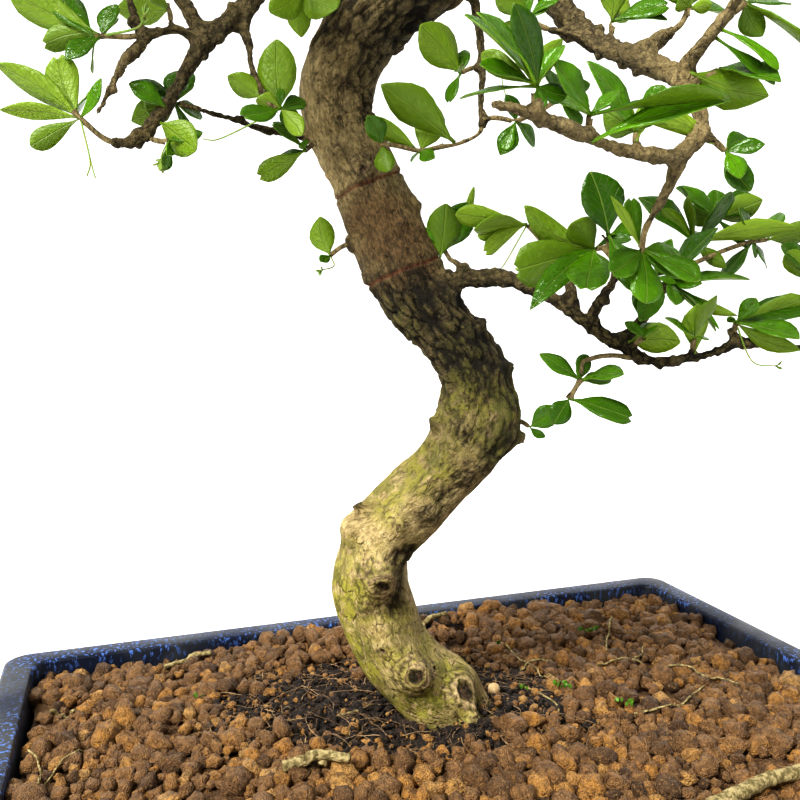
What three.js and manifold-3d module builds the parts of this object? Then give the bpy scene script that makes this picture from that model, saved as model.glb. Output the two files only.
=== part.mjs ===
// Fukien tea bonsai in a glazed oblong pot. Millimetres, +Z up, pot long side along X.
// The tree's points are given in its own frame, seen from its show side: x to the right,
// y away from the viewer, z up from the ground. That frame is turned by TREE_TURN in the pot.
import * as THREE from 'three';
import { mergeVertices } from 'three/addons/utils/BufferGeometryUtils.js';
import { OBB } from 'three/addons/math/OBB.js';
import Module from 'manifold-3d';

const wasm = await Module();
wasm.setup();

// Pot
const POT_WIDTH = 371;
const POT_DEPTH = 276;
const POT_HEIGHT = 95;
const RIM_BAND = 13;
const RIM_OVERHANG = 5;
const RIM_TALL = 9;
const RIM_ROUND = 1.5;
const WALL_LEAN = 10;
const INNER_LEAN = 8;
const CORNER_RADIUS = 14;
const FLOOR_TOP = 17;
const FOOT_TALL = 8;
const FOOT_LENGTH = 46;
const FOOT_WIDTH = 30;
const FOOT_INSET = 4;
const FOOT_TAPER = 6;
const FOOT_ROUND = 6;
const DRAIN_RADIUS = 10;
const DRAIN_SIDES = 16;
const DRAIN_SPACING = 170;
const MESH_SIDE = 40;
const MESH_TALL = 1.5;
const MESH_HOLE = 8;
const MESH_PITCH = 12;

// Soil
const GAP = 0.3;
const SPARE = 30;
const SOIL_EDGE_DROP = 8;
const SOIL_MOUND = 9;
const SOIL_PITCH = 13.5;
const GRAIN_TALL = 4.2;
const BALL_CENTRE = [-30, 25];
const BALL_RADII = [74, 46];
const BALL_BOTTOM = 38;
const BALL_SHOULDER = 83;
const BALL_TAPER = 0.88;
const BALL_FLARE = 1.02;
const PEAT_PITCH = 14;
const PEAT_TALL = 1.6;
const PEAT_DROP = 1.5;
const BALL_SIDES = 20;

// Tree
const TREE_TURN = 18.9;
const TRUNK_SIDES = 11;
const THICK_LIMB = 7;
const NUB_RADIUS = 1.9;
const NUB_FLARE = 0.4;
const STUB_FLARE = 1.5;
const STEM_RADIUS = 1.3;
const LEAF_THICK = 0.7;
const LEAF_STEP = 1.8;
const LEAF_ARCH = 0.13;
const LEAF_NECK = 0.14;
const OWN_LEAF_NECK = 0.45;
const SMALL_LEAF = 16;
const NEAR_TUFT = 1.6;
const FACET_REACH = 0.22;
const FACET_TRIES = 8;
const TOUCH = 1e-6;
const CROWN_SEED = 71;
const CROWN_LOW = 276;
const CROWN_RISE = 0.358;
const VIEW_BACK = 309;

// Rows of a leaf on to its tip: place along the leaf, share of its full width
const FULL_ROWS = [[0.4, 0.8], [0.76, 1], [1, 0.34]];
const SHORT_ROWS = [[0.6, 1], [1, 0.4]];

// Centre line of the trunk, from the buried stump to the top: x, y, z, radius
const TRUNK = [
  [14, 14, 54, 9], [8, 14, 74, 15], [-7, 14, 96, 16], [-20, 14, 109, 16.5], [-32, 15, 123, 16.4],
  [-39, 17, 138, 15.8], [-41, 18, 152, 15.6], [-37, 17, 167, 15], [-26, 13, 182, 14.2],
  [-14, 9, 195, 13.7], [-4, 7, 207, 15], [2, 6, 219, 15.7], [2, 7, 231, 13.1], [-3, 9, 243, 12.6],
  [-13, 12, 255, 13.2], [-24, 14, 268, 13.7], [-31, 15, 282, 13.7], [-37, 16, 298, 13.5],
  [-45, 17, 316, 13.2], [-52, 18, 332, 13.2], [-54, 17, 345, 13.9], [-50, 14, 358, 14.1],
  [-41, 10, 370, 14.4], [-28, 5, 379, 13.8], [-12, 0, 385, 12.2], [5, -4, 393, 10],
  [13, -4, 407, 8.6], [7, 2, 425, 7.5], [-6, 8, 442, 6.4], [-12, 12, 459, 5.2], [-9, 12, 476, 4],
  [-4, 10, 490, 3],
];

const ROOTS = [
  [[8, 14, 74, 9], [-14, 0, 66, 5], [-44, -3, 60, 3], [-70, 6, 56, 1.8]],
  [[8, 14, 74, 9], [-10, 34, 68, 5], [-38, 48, 60, 3], [-62, 50, 54, 1.8]],
  [[8, 14, 74, 8], [18, 34, 66, 4], [14, 48, 58, 2]],
];

// Branches seen from the show side, each from inside what it grows from
const LOW_BRANCHES = [
  [[-24, 13, 266, 6], [-12, 7, 271, 5.6], [-3, 2, 273, 5], [9, -6, 273, 4.2], [22, -14, 268, 3.8],
    [35, -20, 257, 3.4], [46, -24, 250, 3.2], [57, -26, 243, 2.8], [74, -24, 244, 2.5],
    [90, -20, 250, 2.6], [105, -16, 249, 2.3], [121, -12, 247, 2], [138, -8, 250, 1.9]],
  [[1, -1, 273, 3], [-5, 5, 278, 2.2], [-9, 9, 280, 1.9]],
  [[33, -19, 259, 3.2], [31, -12, 274, 2.8], [26, -6, 283, 2.3], [22, -2, 288, 1.9]],
  [[36, -21, 256, 2.8], [39, -30, 266, 2.5], [42, -37, 272, 2.2], [40, -43, 276, 1.9]],
  [[47, -24, 249, 2.8], [57, -16, 258, 2.3], [65, -8, 266, 2.1], [77, -1, 281, 1.9]],
];
const HIGH_BRANCHES = [
  [[5, -3, 394, 8], [14, 0, 388, 7.6], [23, -10, 369, 5.8], [36, -30, 347, 5], [50, -60, 331, 4],
    [55, -70, 321, 2.8], [56, -72, 312, 3.3], [49, -74, 303, 2.5], [46, -72, 294, 2.2],
    [42, -69, 286, 2]],
  [[36, -30, 348, 3.4], [19, -24, 355, 2.2]],
  [[44, -48, 340, 3], [54, -51, 346, 2]],
  [[51, -64, 329, 3.2], [57, -72, 338, 2.6], [64, -77, 347, 2.3], [68, -84, 366, 2.1],
    [74, -92, 384, 1.9]],
  [[51, -74, 304, 2.8], [36, -82, 303, 2.3], [25, -88, 304, 2.1], [14, -96, 307, 2],
    [2, -104, 309, 1.9], [-8, -110, 310, 1.7]],
  [[-8, 1, 386, 3.4], [-1, 2, 370, 2.5], [0, 4, 359, 2.3], [2, 5, 349, 2.3], [0, 5, 338, 2.3],
    [1, 4, 328, 2.2]],
];
const LEFT_BRANCHES = [
  [[-40, 10, 371, 8], [-50, 8, 383, 5.4], [-62, 4, 388, 4.6], [-78, -4, 374, 4.4],
    [-87, -10, 364, 4.5], [-96, -16, 354, 4.5], [-102, -20, 343, 4.1], [-107, -24, 332, 3.5],
    [-111, -28, 324, 3.1], [-118, -32, 315, 2.9], [-124, -36, 316, 2.3]],
  [[-96, -16, 354, 4.3], [-104, -12, 366, 3.8], [-112, -8, 378, 3.4], [-122, -5, 393, 2.8],
    [-142, -1, 405, 2.3], [-164, 3, 412, 1.9]],
  [[-98, -17, 356, 2.8], [-107, -22, 355, 2.2], [-117, -28, 351, 1.9]],
  [[-112, -25, 352, 2.4], [-119, -32, 343, 2.1], [-121, -40, 332, 1.9], [-124, -46, 322, 1.5]],
  [[-114, -27, 351, 2.3], [-118, -24, 358, 2.2], [-124, -16, 376, 2.1], [-134, -24, 394, 1.9]],
  [[-48, 18, 332, 4.4], [-60, 16, 329, 3], [-68, 15, 328, 2.8], [-78, 8, 328, 2.6],
    [-88, 0, 330, 2.1], [-102, -7, 333, 1.9]],
  [[-84, -9, 366, 2.6], [-82, -12, 348, 2], [-79, -14, 338, 1.9], [-76, -15, 334, 2]],
];

// Limbs above the low branches, out of the photo, each ending in a spray
const CROWN_BRANCHES = [
  [[13, -4, 407, 6], [28, -1, 415, 4.6], [50, 4, 424, 3.8], [78, 10, 428, 3], [108, 12, 434, 2.3],
    [132, 11, 438, 1.9]],
  [[7, 2, 425, 5.5], [-12, -8, 436, 4.4], [-34, -20, 442, 3.6], [-60, -34, 447, 2.8],
    [-90, -46, 453, 1.9]],
  [[-6, 8, 442, 5], [6, 24, 450, 3.8], [22, 46, 458, 3], [36, 66, 463, 2.4], [48, 84, 467, 1.9]],
  [[-12, 12, 459, 4.4], [-26, 26, 468, 3.2], [-44, 44, 475, 2.6], [-70, 66, 480, 1.9]],
  [[-9, 12, 476, 3.6], [-3, -6, 484, 2.8], [5, -26, 492, 2.4], [13, -50, 497, 1.9]],
  [[-4, 10, 488, 3], [-16, 10, 500, 2.3], [-28, 9, 511, 1.9]],
  [[-4, 10, 488, 3], [9, 12, 501, 2.3], [20, 14, 511, 1.9]],
  [[-42, 11, 370, 7], [-46, 28, 388, 4.8], [-46, 50, 405, 3.8], [-42, 78, 418, 3],
    [-38, 106, 428, 1.9]],
  [[13, -4, 405, 5], [34, 12, 413, 4], [60, 34, 424, 3.2], [88, 54, 431, 2.5], [114, 68, 436, 1.9]],
  [[-60, 5, 388, 4], [-74, 22, 401, 3.2], [-92, 44, 413, 2.6], [-110, 66, 422, 1.9]],
  [[-62, 4, 388, 3.6], [-66, -18, 402, 2.8], [-71, -44, 409, 2.4], [-76, -68, 412, 1.9]],
  [[8, -4, 397, 5], [30, -24, 408, 3.4], [56, -44, 414, 2.7], [82, -60, 417, 1.9]],
];

const BRANCHES = [...LOW_BRANCHES, ...HIGH_BRANCHES, ...LEFT_BRANCHES, ...CROWN_BRANCHES];

// Cut stubs and swellings on the trunk: centre, outward reach, radius
const STUBS = [
  [[-41, 18, 146], [0.1, -1, -0.15], 17.5, 5.5], [[-27, 15, 117], [0.35, -1, 0.15], 19, 5],
  [[-8, 14, 100], [0.55, -1, -0.1], 19, 4.6], [[-4, 8, 212], [-1, -0.3, 0.45], 17, 2.6],
  [[0, 8, 237], [1, -0.3, 0.25], 15.5, 2.4], [[-9, 10, 251], [1, -0.2, 0.5], 15.5, 2.2],
  [[-36, 14, 180], [-0.85, -0.5, 0.35], 13, 2.4], [[-36, 16, 300], [0.95, -0.3, 0.2], 15.5, 2.2],
  [[-44, 17, 312], [-1, -0.4, 0.1], 15, 2], [[2, 6, 214], [1, -0.4, -0.1], 18, 3],
];

// Leafy stems of the show side. Each grows from a nub of the trunk node: foot is on the parent's
// axis, out is the nub's direction and reach its length. A stem's points go on from there.
// A leaf is: clock angle seen from the show side, tilt to the viewer, face, length, width.
// Face 0 has the upper side up, 90 has it to the viewer, -90 shows the underside.
const SHOW_SPRAYS = [
  { name: 'spray_left_upper', foot: [-117, -28, 351],
    stems: [[[-126, -32, 350], [-129, -33, 349]]],
    tufts: [[[-126, -32, 350], [160, 10, -50, 37, 17], [72, -10, 80, 12, 7], [-170, 20, -75, 22, 11],
      [35, -20, 30, 15, 7]],
    [[-128, -33, 349], [-150, 25, 40, 20, 9], [-119, 10, 40, 12, 6], [125, -15, 60, 24, 11]]] },
  { name: 'spray_left_lower', foot: [-124, -36, 316],
    stems: [[[-131, -41, 322], [-133, -42, 324]]],
    tufts: [[[-131, -41, 322], [109, 5, -90, 20, 14], [158, 15, -50, 30, 14], [-177, 20, -30, 28, 13],
      [-142, 25, -50, 19, 10]],
    [[-133, -42, 324], [50, 25, 80, 13, 7], [-107, 30, 55, 12, 6], [130, -25, -60, 22, 11]]] },
  { name: 'spray_left_drop', foot: [-115, -30, 319], out: [0.7, 0, -0.25], reach: 4.5,
    stems: [[[-106, -31, 317]]],
    tufts: [[[-106, -31, 317], [-12, 10, -90, 17, 12], [-75, 10, 30, 10, 5], [25, -20, 60, 12, 6]]] },
  { name: 'spray_left_inner', foot: [-102, -7, 333],
    stems: [[[-109, -11, 334]]],
    tufts: [[[-109, -11, 334], [78, -20, 85, 15, 12], [137, 0, 50, 16, 8], [-149, 15, -85, 14, 10],
      [-60, 5, 25, 15, 7]]] },
  { name: 'spray_left_mid', foot: [-106, -22, 355], out: [-0.2, 0.5, 0.8], reach: 6,
    stems: [[[-109, -14, 364], [-111, -12, 367]]],
    tufts: [[[-109, -14, 364], [45, -30, 75, 20, 10], [155, -10, -60, 20, 10], [10, 20, 30, 14, 7]],
      [[-111, -12, 367], [114, -30, 58, 18, 9]]] },
  { name: 'spray_left_centre', foot: [-76, -15, 334],
    stems: [[[-71, -15, 330]]],
    tufts: [[[-71, -15, 331], [87, -10, -90, 24, 16], [155, 15, 43, 18, 8], [37, -20, 80, 12, 7],
      [-50, 10, -80, 13, 7], [-100, 20, 70, 9, 5]]] },
  { name: 'spray_left_base', foot: [-60, 16, 329], out: [-0.3, -0.7, -0.6], reach: 7.5,
    stems: [[[-65, 7, 321]]],
    tufts: [[[-65, 7, 321], [-123, 10, -57, 18, 9], [-166, -20, 55, 15, 7], [151, 20, 35, 15, 7]]] },
  { name: 'spray_left_hang', foot: [-62, 4, 388], out: [-0.05, -0.45, -0.9], reach: 7,
    stems: [[[-64, -4, 376]]],
    tufts: [[[-64, -4, 376], [-131, 15, -80, 21, 10], [-112, -15, -85, 17, 9], [-42, 5, -90, 19, 14],
      [-78, 20, 18, 24, 10]]] },
  { name: 'spray_trunk_leaf', foot: [-36, 16, 290], out: [-0.9, -0.4, -0.25], reach: 16.5,
    stems: [[[-56, 7, 282]]],
    tufts: [[[-56, 7, 282], [118, 0, -85, 18, 12], [160, 20, 40, 7, 4]]] },
  { name: 'spray_centre', foot: [1, 5, 351], out: [-0.95, 0, -0.2], reach: 4,
    stems: [[[-7, 4, 348]]],
    tufts: [[[-7, 4, 348], [138, 5, -90, 23, 15], [84, -20, 60, 11, 6], [-118, 10, 50, 11, 6]]] },
  { name: 'spray_centre_left', foot: [1, 4, 328],
    stems: [[[-6, 3, 323], [-13, 4, 322], [-22, 4, 320], [-31, 2, 322], [-37, 0, 322]]],
    tufts: [[[-9, 3, 323], [142, 12, -56, 34, 15], [123, -15, -85, 18, 12]],
      [[-36, 1, 322], [124, -10, 85, 12, 8], [-76, 10, -85, 11, 8], [98, -30, 29, 22, 10]],
      [[-22, 4, 320], [27, 25, 43, 11, 6]]] },
  { name: 'spray_centre_right', foot: [1, 4, 332], out: [0.9, -0.3, 0], reach: 4,
    stems: [[[13, 0, 330], [21, -2, 333], [28, -4, 337]]],
    tufts: [[[13, 0, 330], [-116, 20, 85, 14, 8], [131, 0, 80, 10, 6], [-40, -25, 60, 13, 7]],
      [[28, -4, 337], [30, -10, 80, 14, 7], [95, 0, 60, 13, 7], [-35, 10, 60, 12, 6]]] },
  { name: 'spray_front_left', foot: [3, -103, 309], out: [0.15, 0.1, 0.95], reach: 4,
    stems: [[[4, -102, 316]]],
    tufts: [[[4, -102, 316], [135, 20, 26, 24, 11], [112, -20, 43, 24, 12], [168, 25, 24, 19, 8],
      [80, -30, 35, 12, 6], [-165, 10, 38, 11, 6], [28, 0, 80, 9, 5]]] },
  { name: 'spray_front_hero', foot: [19, -92, 305.5], out: [0, -0.3, 0.9], reach: 3.5,
    stems: [[[19, -94, 311]]],
    tufts: [[[19, -94, 311], [8, 25, 20, 32, 13], [113, 10, 79, 20, 10], [150, -15, 70, 16, 8]]] },
  { name: 'spray_front_mid', foot: [34, -83, 303.5], out: [0, 0, 1], reach: 3.5,
    stems: [[[34, -83, 309]]],
    tufts: [[[34, -83, 309], [128, 10, 54, 25, 12], [118, -25, -85, 15, 11], [68, 20, 41, 13, 7],
      [-5, 5, 27, 21, 9]]] },
  { name: 'spray_front_bulge', foot: [56, -72, 312], out: [0.7, 0.1, -0.6], reach: 5.5,
    stems: [[[63, -71, 306]]],
    tufts: [[[63, -71, 306], [-56, 10, 85, 13, 8], [-15, -20, 43, 11, 6]]] },
  { name: 'spray_upper_right', foot: [53, -67, 326], out: [0.85, 0.1, 0.35], reach: 6,
    stems: [[[62, -66, 330]]],
    tufts: [[[62, -66, 330], [-29, 0, -90, 23, 13], [-2, 25, 25, 20, 9]]] },
  { name: 'spray_upper_high', foot: [59, -73, 341], out: [0.8, 0.1, 0.5], reach: 5,
    stems: [[[66, -72, 346]]],
    tufts: [[[66, -72, 346], [-31, 10, 17, 21, 10], [20, -30, 54, 19, 10], [140, 10, -85, 15, 8],
      [95, 20, -80, 14, 7]]] },
  { name: 'spray_stub_left', foot: [19, -24, 355],
    stems: [[[14, -22, 359]]],
    tufts: [[[14, -22, 359], [4, -20, 51, 14, 7], [-108, 10, -85, 13, 8], [141, 0, -85, 15, 9],
      [70, -15, 60, 14, 7]]] },
  { name: 'spray_limb_top', foot: [39, -36, 343.5], out: [0, 0.3, 0.9], reach: 8,
    stems: [[[39, -33, 354]]],
    tufts: [[[39, -33, 354], [5, 10, 45, 17, 8], [118, 10, -80, 15, 9], [55, -10, -85, 16, 9]]] },
  { name: 'spray_stub_right', foot: [54, -51, 346],
    stems: [[[58, -51, 352]]],
    tufts: [[[58, -51, 352], [130, 10, -85, 14, 8], [67, -10, -85, 14, 8], [10, 0, 50, 15, 8]]] },
  { name: 'spray_low_inner', foot: [-9, 9, 280],
    stems: [[[-12, 12, 284], [-13, 13, 287]]],
    tufts: [[[-12, 12, 284], [84, 10, 85, 20, 13], [125, 0, 40, 26, 12], [67, -15, 15, 27, 10]],
      [[-13, 13, 287], [118, -30, 47, 17, 8]]] },
  { name: 'spray_low_pale', foot: [22, -2, 288],
    stems: [[[18, 1, 293]]],
    tufts: [[[18, 1, 293], [158, 15, -34, 31, 14], [-179, 22, -35, 23, 11], [-155, 28, 35, 21, 10],
      [98, -10, -80, 16, 8]]] },
  { name: 'spray_low_dark', foot: [40, -43, 276],
    stems: [[[38, -44, 283], [36, -43, 286]], [[38, -44, 282], [34, -39, 281]]],
    tufts: [[[37, -44, 285], [111, 5, 85, 23, 15], [172, 22, -80, 17, 11], [140, 0, -33, 26, 13],
      [60, 0, 60, 15, 8]],
    [[34, -39, 281], [-166, 8, -80, 27, 15], [-138, 22, 44, 28, 13], [156, -22, 80, 16, 10]]] },
  { name: 'spray_front_drop', foot: [42, -69, 286],
    stems: [[[41, -67, 278]]],
    tufts: [[[41, -67, 279], [-89, 32, 80, 17, 10], [117, -10, 20, 19, 9], [-160, 10, 80, 13, 8],
      [-16, 0, 60, 13, 7]]] },
  { name: 'spray_low_middle', foot: [61, -12, 262], out: [0, -0.5, 0.85], reach: 5,
    stems: [[[61, -16, 271], [61, -17, 274]], [[61, -16, 270], [67, -15, 271]]],
    tufts: [[[61, -17, 273], [-119, 25, 80, 18, 9], [134, -15, 80, 15, 9], [40, -25, 80, 15, 9],
      [85, 0, 60, 14, 7]],
    [[67, -15, 271], [-43, 20, 24, 23, 10], [-21, 5, 25, 26, 12], [15, -12, 28, 24, 11],
      [4, 30, 70, 15, 9]]] },
  { name: 'spray_low_high', foot: [77, -1, 281],
    stems: [[[81, 2, 286], [86, 6, 291], [92, 10, 296]]],
    tufts: [[[92, 10, 296], [141, 10, 49, 20, 9], [23, 0, 80, 19, 11], [83, -20, 57, 15, 8],
      [175, 20, 80, 13, 8]],
    [[81, 2, 286], [136, 0, 56, 27, 13], [62, -25, 70, 19, 9], [158, 22, 20, 20, 9]]] },
  { name: 'spray_low_twig', foot: [73, -4, 277], out: [0.8, 0.1, 0.2], reach: 5.5,
    stems: [[[83, -1, 280], [93, 2, 284], [103, 5, 287], [111, 8, 288]]],
    tufts: [[[104, 5, 287], [113, -10, 41, 14, 7], [-163, 22, 26, 17, 8], [-65, 10, 50, 12, 6]],
      [[111, 8, 288], [18, 5, -70, 18, 9], [60, -30, 39, 17, 8]]] },
  { name: 'spray_branch_middle', foot: [72, -24, 244], out: [0, -0.3, 0.95], reach: 5,
    stems: [[[72, -27, 252]]],
    tufts: [[[72, -27, 252], [87, 10, -64, 17, 9], [143, 20, 22, 14, 7], [35, -20, 40, 12, 6]]] },
  { name: 'spray_branch_inner', foot: [50, -25, 247.5], out: [0.3, -0.7, 0.5], reach: 5.5,
    stems: [[[53, -32, 252]]],
    tufts: [[[53, -32, 252], [-8, 5, -85, 15, 11], [60, -25, 60, 10, 6]]] },
  { name: 'spray_branch_upper', foot: [88, -20, 249.5], out: [0, -0.2, 0.9], reach: 5,
    stems: [[[88, -22, 257]]],
    tufts: [[[88, -22, 257], [19, 8, 30, 30, 14], [60, 25, 70, 11, 6], [2, -20, -31, 24, 11]]] },
  { name: 'spray_branch_far', foot: [128, -10.5, 248], out: [-0.1, 0, 0.95], reach: 5,
    stems: [[[126, -11, 257], [124, -13, 264], [121, -14, 270]]],
    tufts: [[[121, -14, 270], [130, 0, 63, 20, 10], [79, -10, 58, 20, 10], [23, 0, -70, 19, 9]],
      [[125, -12, 260], [165, 10, 39, 17, 8], [-145, 12, 48, 16, 8]]] },
  { name: 'spray_branch_tip', foot: [138, -8, 250],
    stems: [[[146, -6, 251], [154, -4, 253]]],
    tufts: [[[154, -4, 253], [15, 0, 40, 24, 12], [60, 20, 60, 20, 10], [-30, -20, 50, 21, 10],
      [105, -15, 50, 18, 9]],
    [[147, -6, 251], [75, 30, 40, 18, 9], [-60, 15, 30, 17, 8], [120, 10, 60, 15, 8]]] },
  { name: 'spray_low_hanging', foot: [54, -26, 244.5], out: [-0.85, -0.3, 0.1], reach: 5.5,
    stems: [[[46, -29, 246], [39, -30, 246], [32, -33, 244], [31, -36, 238], [27, -38, 232]]],
    tufts: [[[27, -38, 232], [-13, 10, 51, 21, 10], [-125, 20, 80, 10, 8], [124, 10, 79, 8, 5]],
      [[31, -36, 238], [8, -15, 32, 12, 7], [-10, 20, 41, 15, 8], [154, 10, 44, 16, 8]],
      [[32, -33, 244], [104, 10, 61, 11, 6]]] },
  { name: 'spray_knuckle_leaf', foot: [2, 7, 224], out: [0.9, -0.4, -0.3], reach: 16.3,
    stems: [[[20, -1, 217]]],
    tufts: [[[20, -1, 217], [53, 10, 80, 13, 9]]] },
];

// Sprays of the crown: where each starts, the way it grows and its nub's reach if it isn't at an end
const CROWN_SPRAYS = [
  ['crown_right_tip', [132, 11, 438], [0.95, 0, 0.2]],
  ['crown_right_top', [78, 10, 428], [0.25, -0.1, 0.95], 6],
  ['crown_left_tip', [-90, -46, 453], [-0.9, -0.3, 0.25]],
  ['crown_left_top', [-34, -20, 442], [-0.3, -0.5, 0.8], 6],
  ['crown_back_tip', [48, 84, 467], [0.4, 0.8, 0.3]],
  ['crown_back_left', [-70, 66, 480], [-0.65, 0.65, 0.35]],
  ['crown_front', [13, -50, 497], [0.2, -0.9, 0.3]],
  ['crown_apex_left', [-28, 9, 511], [-0.55, -0.1, 0.8]],
  ['crown_apex_right', [20, 14, 511], [0.5, 0.15, 0.8]],
  ['crown_rear', [-38, 106, 428], [0.05, 0.95, 0.3]],
  ['crown_rear_right', [114, 68, 436], [0.8, 0.5, 0.25]],
  ['crown_rear_left', [-110, 66, 422], [-0.7, 0.6, 0.35]],
  ['crown_front_left', [-76, -68, 412], [-0.3, -0.85, 0.35]],
  ['crown_front_right', [82, -60, 417], [0.7, -0.6, 0.35]],
  ['crown_side_left', [-164, 3, 412], [-0.9, 0.1, 0.4]],
  ['crown_low_left', [-134, -24, 394], [-0.6, -0.4, 0.7]],
  ['crown_low_right', [74, -92, 384], [0.4, -0.6, 0.7]],
];
const CROWN_STEM = 46;
const CROWN_SWING = 16;
const CROWN_TWIG = 19;
const CROWN_FORKS = [0.34, 0.68];
const CROWN_LEAF = 27;
const CROWN_TUFT = 4;
const END_SPREAD = 46;
const TWIG_SPREAD = 52;
const FORK_SPREAD = 75;
const SPREAD_RANGE = 14;
const TURN_RANGE = 25;

const BENDS = [
  [0, 0], [0, 16], [0, -16], [18, 0], [-18, 0], [18, 16], [-18, 16], [0, 32], [0, -32],
  [34, 0], [-34, 0], [34, 24], [-34, 24], [34, -24], [-34, -24], [55, 10], [-55, 10], [0, 50],
];

const vec = (p) => new THREE.Vector3(p[0], p[1], p[2]);
const radians = THREE.MathUtils.degToRad;

function solidOf(geometry) {
  const bare = geometry.clone();
  bare.deleteAttribute('normal');
  bare.deleteAttribute('uv');
  const merged = mergeVertices(bare, 1e-4);
  return new wasm.Manifold(new wasm.Mesh({
    numProp: 3,
    vertProperties: new Float32Array(merged.attributes.position.array),
    triVerts: new Uint32Array(merged.index.array),
  }));
}

function geometryOf(solid) {
  const mesh = solid.getMesh();
  const geometry = new THREE.BufferGeometry();
  const points = new Float32Array(mesh.numVert * 3);
  for (let i = 0; i < mesh.numVert; i += 1) {
    for (let k = 0; k < 3; k += 1) points[i * 3 + k] = mesh.vertProperties[i * mesh.numProp + k];
  }
  geometry.setAttribute('position', new THREE.BufferAttribute(points, 3));
  geometry.setIndex(new THREE.BufferAttribute(new Uint32Array(mesh.triVerts), 1));
  geometry.computeVertexNormals();
  return geometry;
}

const joined = (solids) => solids.reduce((sum, solid) => sum.add(solid));

function moved(geometry, change) {
  const position = geometry.attributes.position;
  const point = new THREE.Vector3();
  for (let i = 0; i < position.count; i += 1) {
    point.fromBufferAttribute(position, i);
    change(point);
    position.setXYZ(i, point.x, point.y, point.z);
  }
  return geometry;
}

// A closed body through level outlines with the same number of points, lowest first
function stacked(levels) {
  const count = levels[0].outline.length;
  const points = levels.flatMap(({ z, outline }) => outline.flatMap((p) => [p.x, p.y, z]));
  const faces = [];
  for (let level = 0; level + 1 < levels.length; level += 1) {
    for (let i = 0; i < count; i += 1) {
      const a = level * count + i;
      const b = level * count + ((i + 1) % count);
      faces.push(a, b, b + count, a, b + count, a + count);
    }
  }
  const top = (levels.length - 1) * count;
  for (let i = 1; i + 1 < count; i += 1) {
    faces.push(0, i + 1, i);
    faces.push(top, top + i, top + i + 1);
  }
  const geometry = new THREE.BufferGeometry();
  geometry.setAttribute('position', new THREE.Float32BufferAttribute(points, 3));
  geometry.setIndex(faces);
  return geometry;
}

function roundedOutline(width, depth, radius, steps = 2) {
  const outline = [];
  const corners = [[1, 1], [-1, 1], [-1, -1], [1, -1]];
  corners.forEach(([sx, sy], corner) => {
    for (let step = 0; step <= steps; step += 1) {
      const angle = (corner + step / steps) * (Math.PI / 2);
      outline.push(new THREE.Vector2(
        sx * (width / 2 - radius) + radius * Math.cos(angle),
        sy * (depth / 2 - radius) + radius * Math.sin(angle),
      ));
    }
  });
  return outline;
}

function ovalOutline(centre, radii, scale, grow = 0) {
  const outline = [];
  for (let i = 0; i < BALL_SIDES; i += 1) {
    const angle = (i / BALL_SIDES) * 2 * Math.PI;
    outline.push(new THREE.Vector2(
      centre[0] + (radii[0] * scale + grow) * Math.cos(angle),
      centre[1] + (radii[1] * scale + grow) * Math.sin(angle),
    ));
  }
  return outline;
}

// A round limb along points of x, y, z and radius, with flat ends
function limb(points, sides, shape = () => 1) {
  const curve = new THREE.CatmullRomCurve3(points.map(vec));
  const spans = points.length - 1;
  const rings = [];
  let normal = new THREE.Vector3(0, -1, 0.01);
  for (let i = 0; i <= spans; i += 1) {
    const tangent = curve.getTangent(i / spans);
    normal = normal.clone().addScaledVector(tangent, -normal.dot(tangent)).normalize();
    const binormal = new THREE.Vector3().crossVectors(normal, tangent);
    rings.push({ centre: vec(points[i]), radius: points[i][3], normal, binormal });
  }
  return moved(new THREE.CylinderGeometry(1, 1, 1, sides, spans), (point) => {
    const place = point.y + 0.5;
    const ring = rings[Math.round(place * spans)];
    const angle = Math.atan2(point.z, point.x);
    const radius = ring.radius * shape(angle, place);
    const { x, z } = point;
    point.copy(ring.centre).addScaledVector(ring.normal, x * radius)
      .addScaledVector(ring.binormal, z * radius);
  });
}

function straight(from, direction, length, radius, endRadius, sides = 6) {
  const start = vec(from);
  const end = start.clone().addScaledVector(vec(direction).normalize(), length);
  return limb([[...start.toArray(), radius], [...end.toArray(), endRadius]], sides);
}

// Flutes and swellings of the old trunk round its girth
function trunkFlutes(angle, place) {
  return 1 + 0.05 * Math.sin(3 * angle + 9 * place) + 0.035 * Math.sin(5 * angle - 23 * place)
    + 0.03 * Math.sin(2 * angle + 61 * place);
}

function potWall(inset, z, overhang = 0) {
  const width = POT_WIDTH - 2 * (RIM_OVERHANG + inset) + 2 * overhang;
  const depth = POT_DEPTH - 2 * (RIM_OVERHANG + inset) + 2 * overhang;
  return { z, outline: roundedOutline(width, depth, CORNER_RADIUS) };
}

function cavity(shrink, bottom, top) {
  const band = RIM_BAND - RIM_OVERHANG;
  return stacked([
    potWall(band + INNER_LEAN + shrink, bottom),
    potWall(band + shrink, top),
  ]);
}

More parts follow.
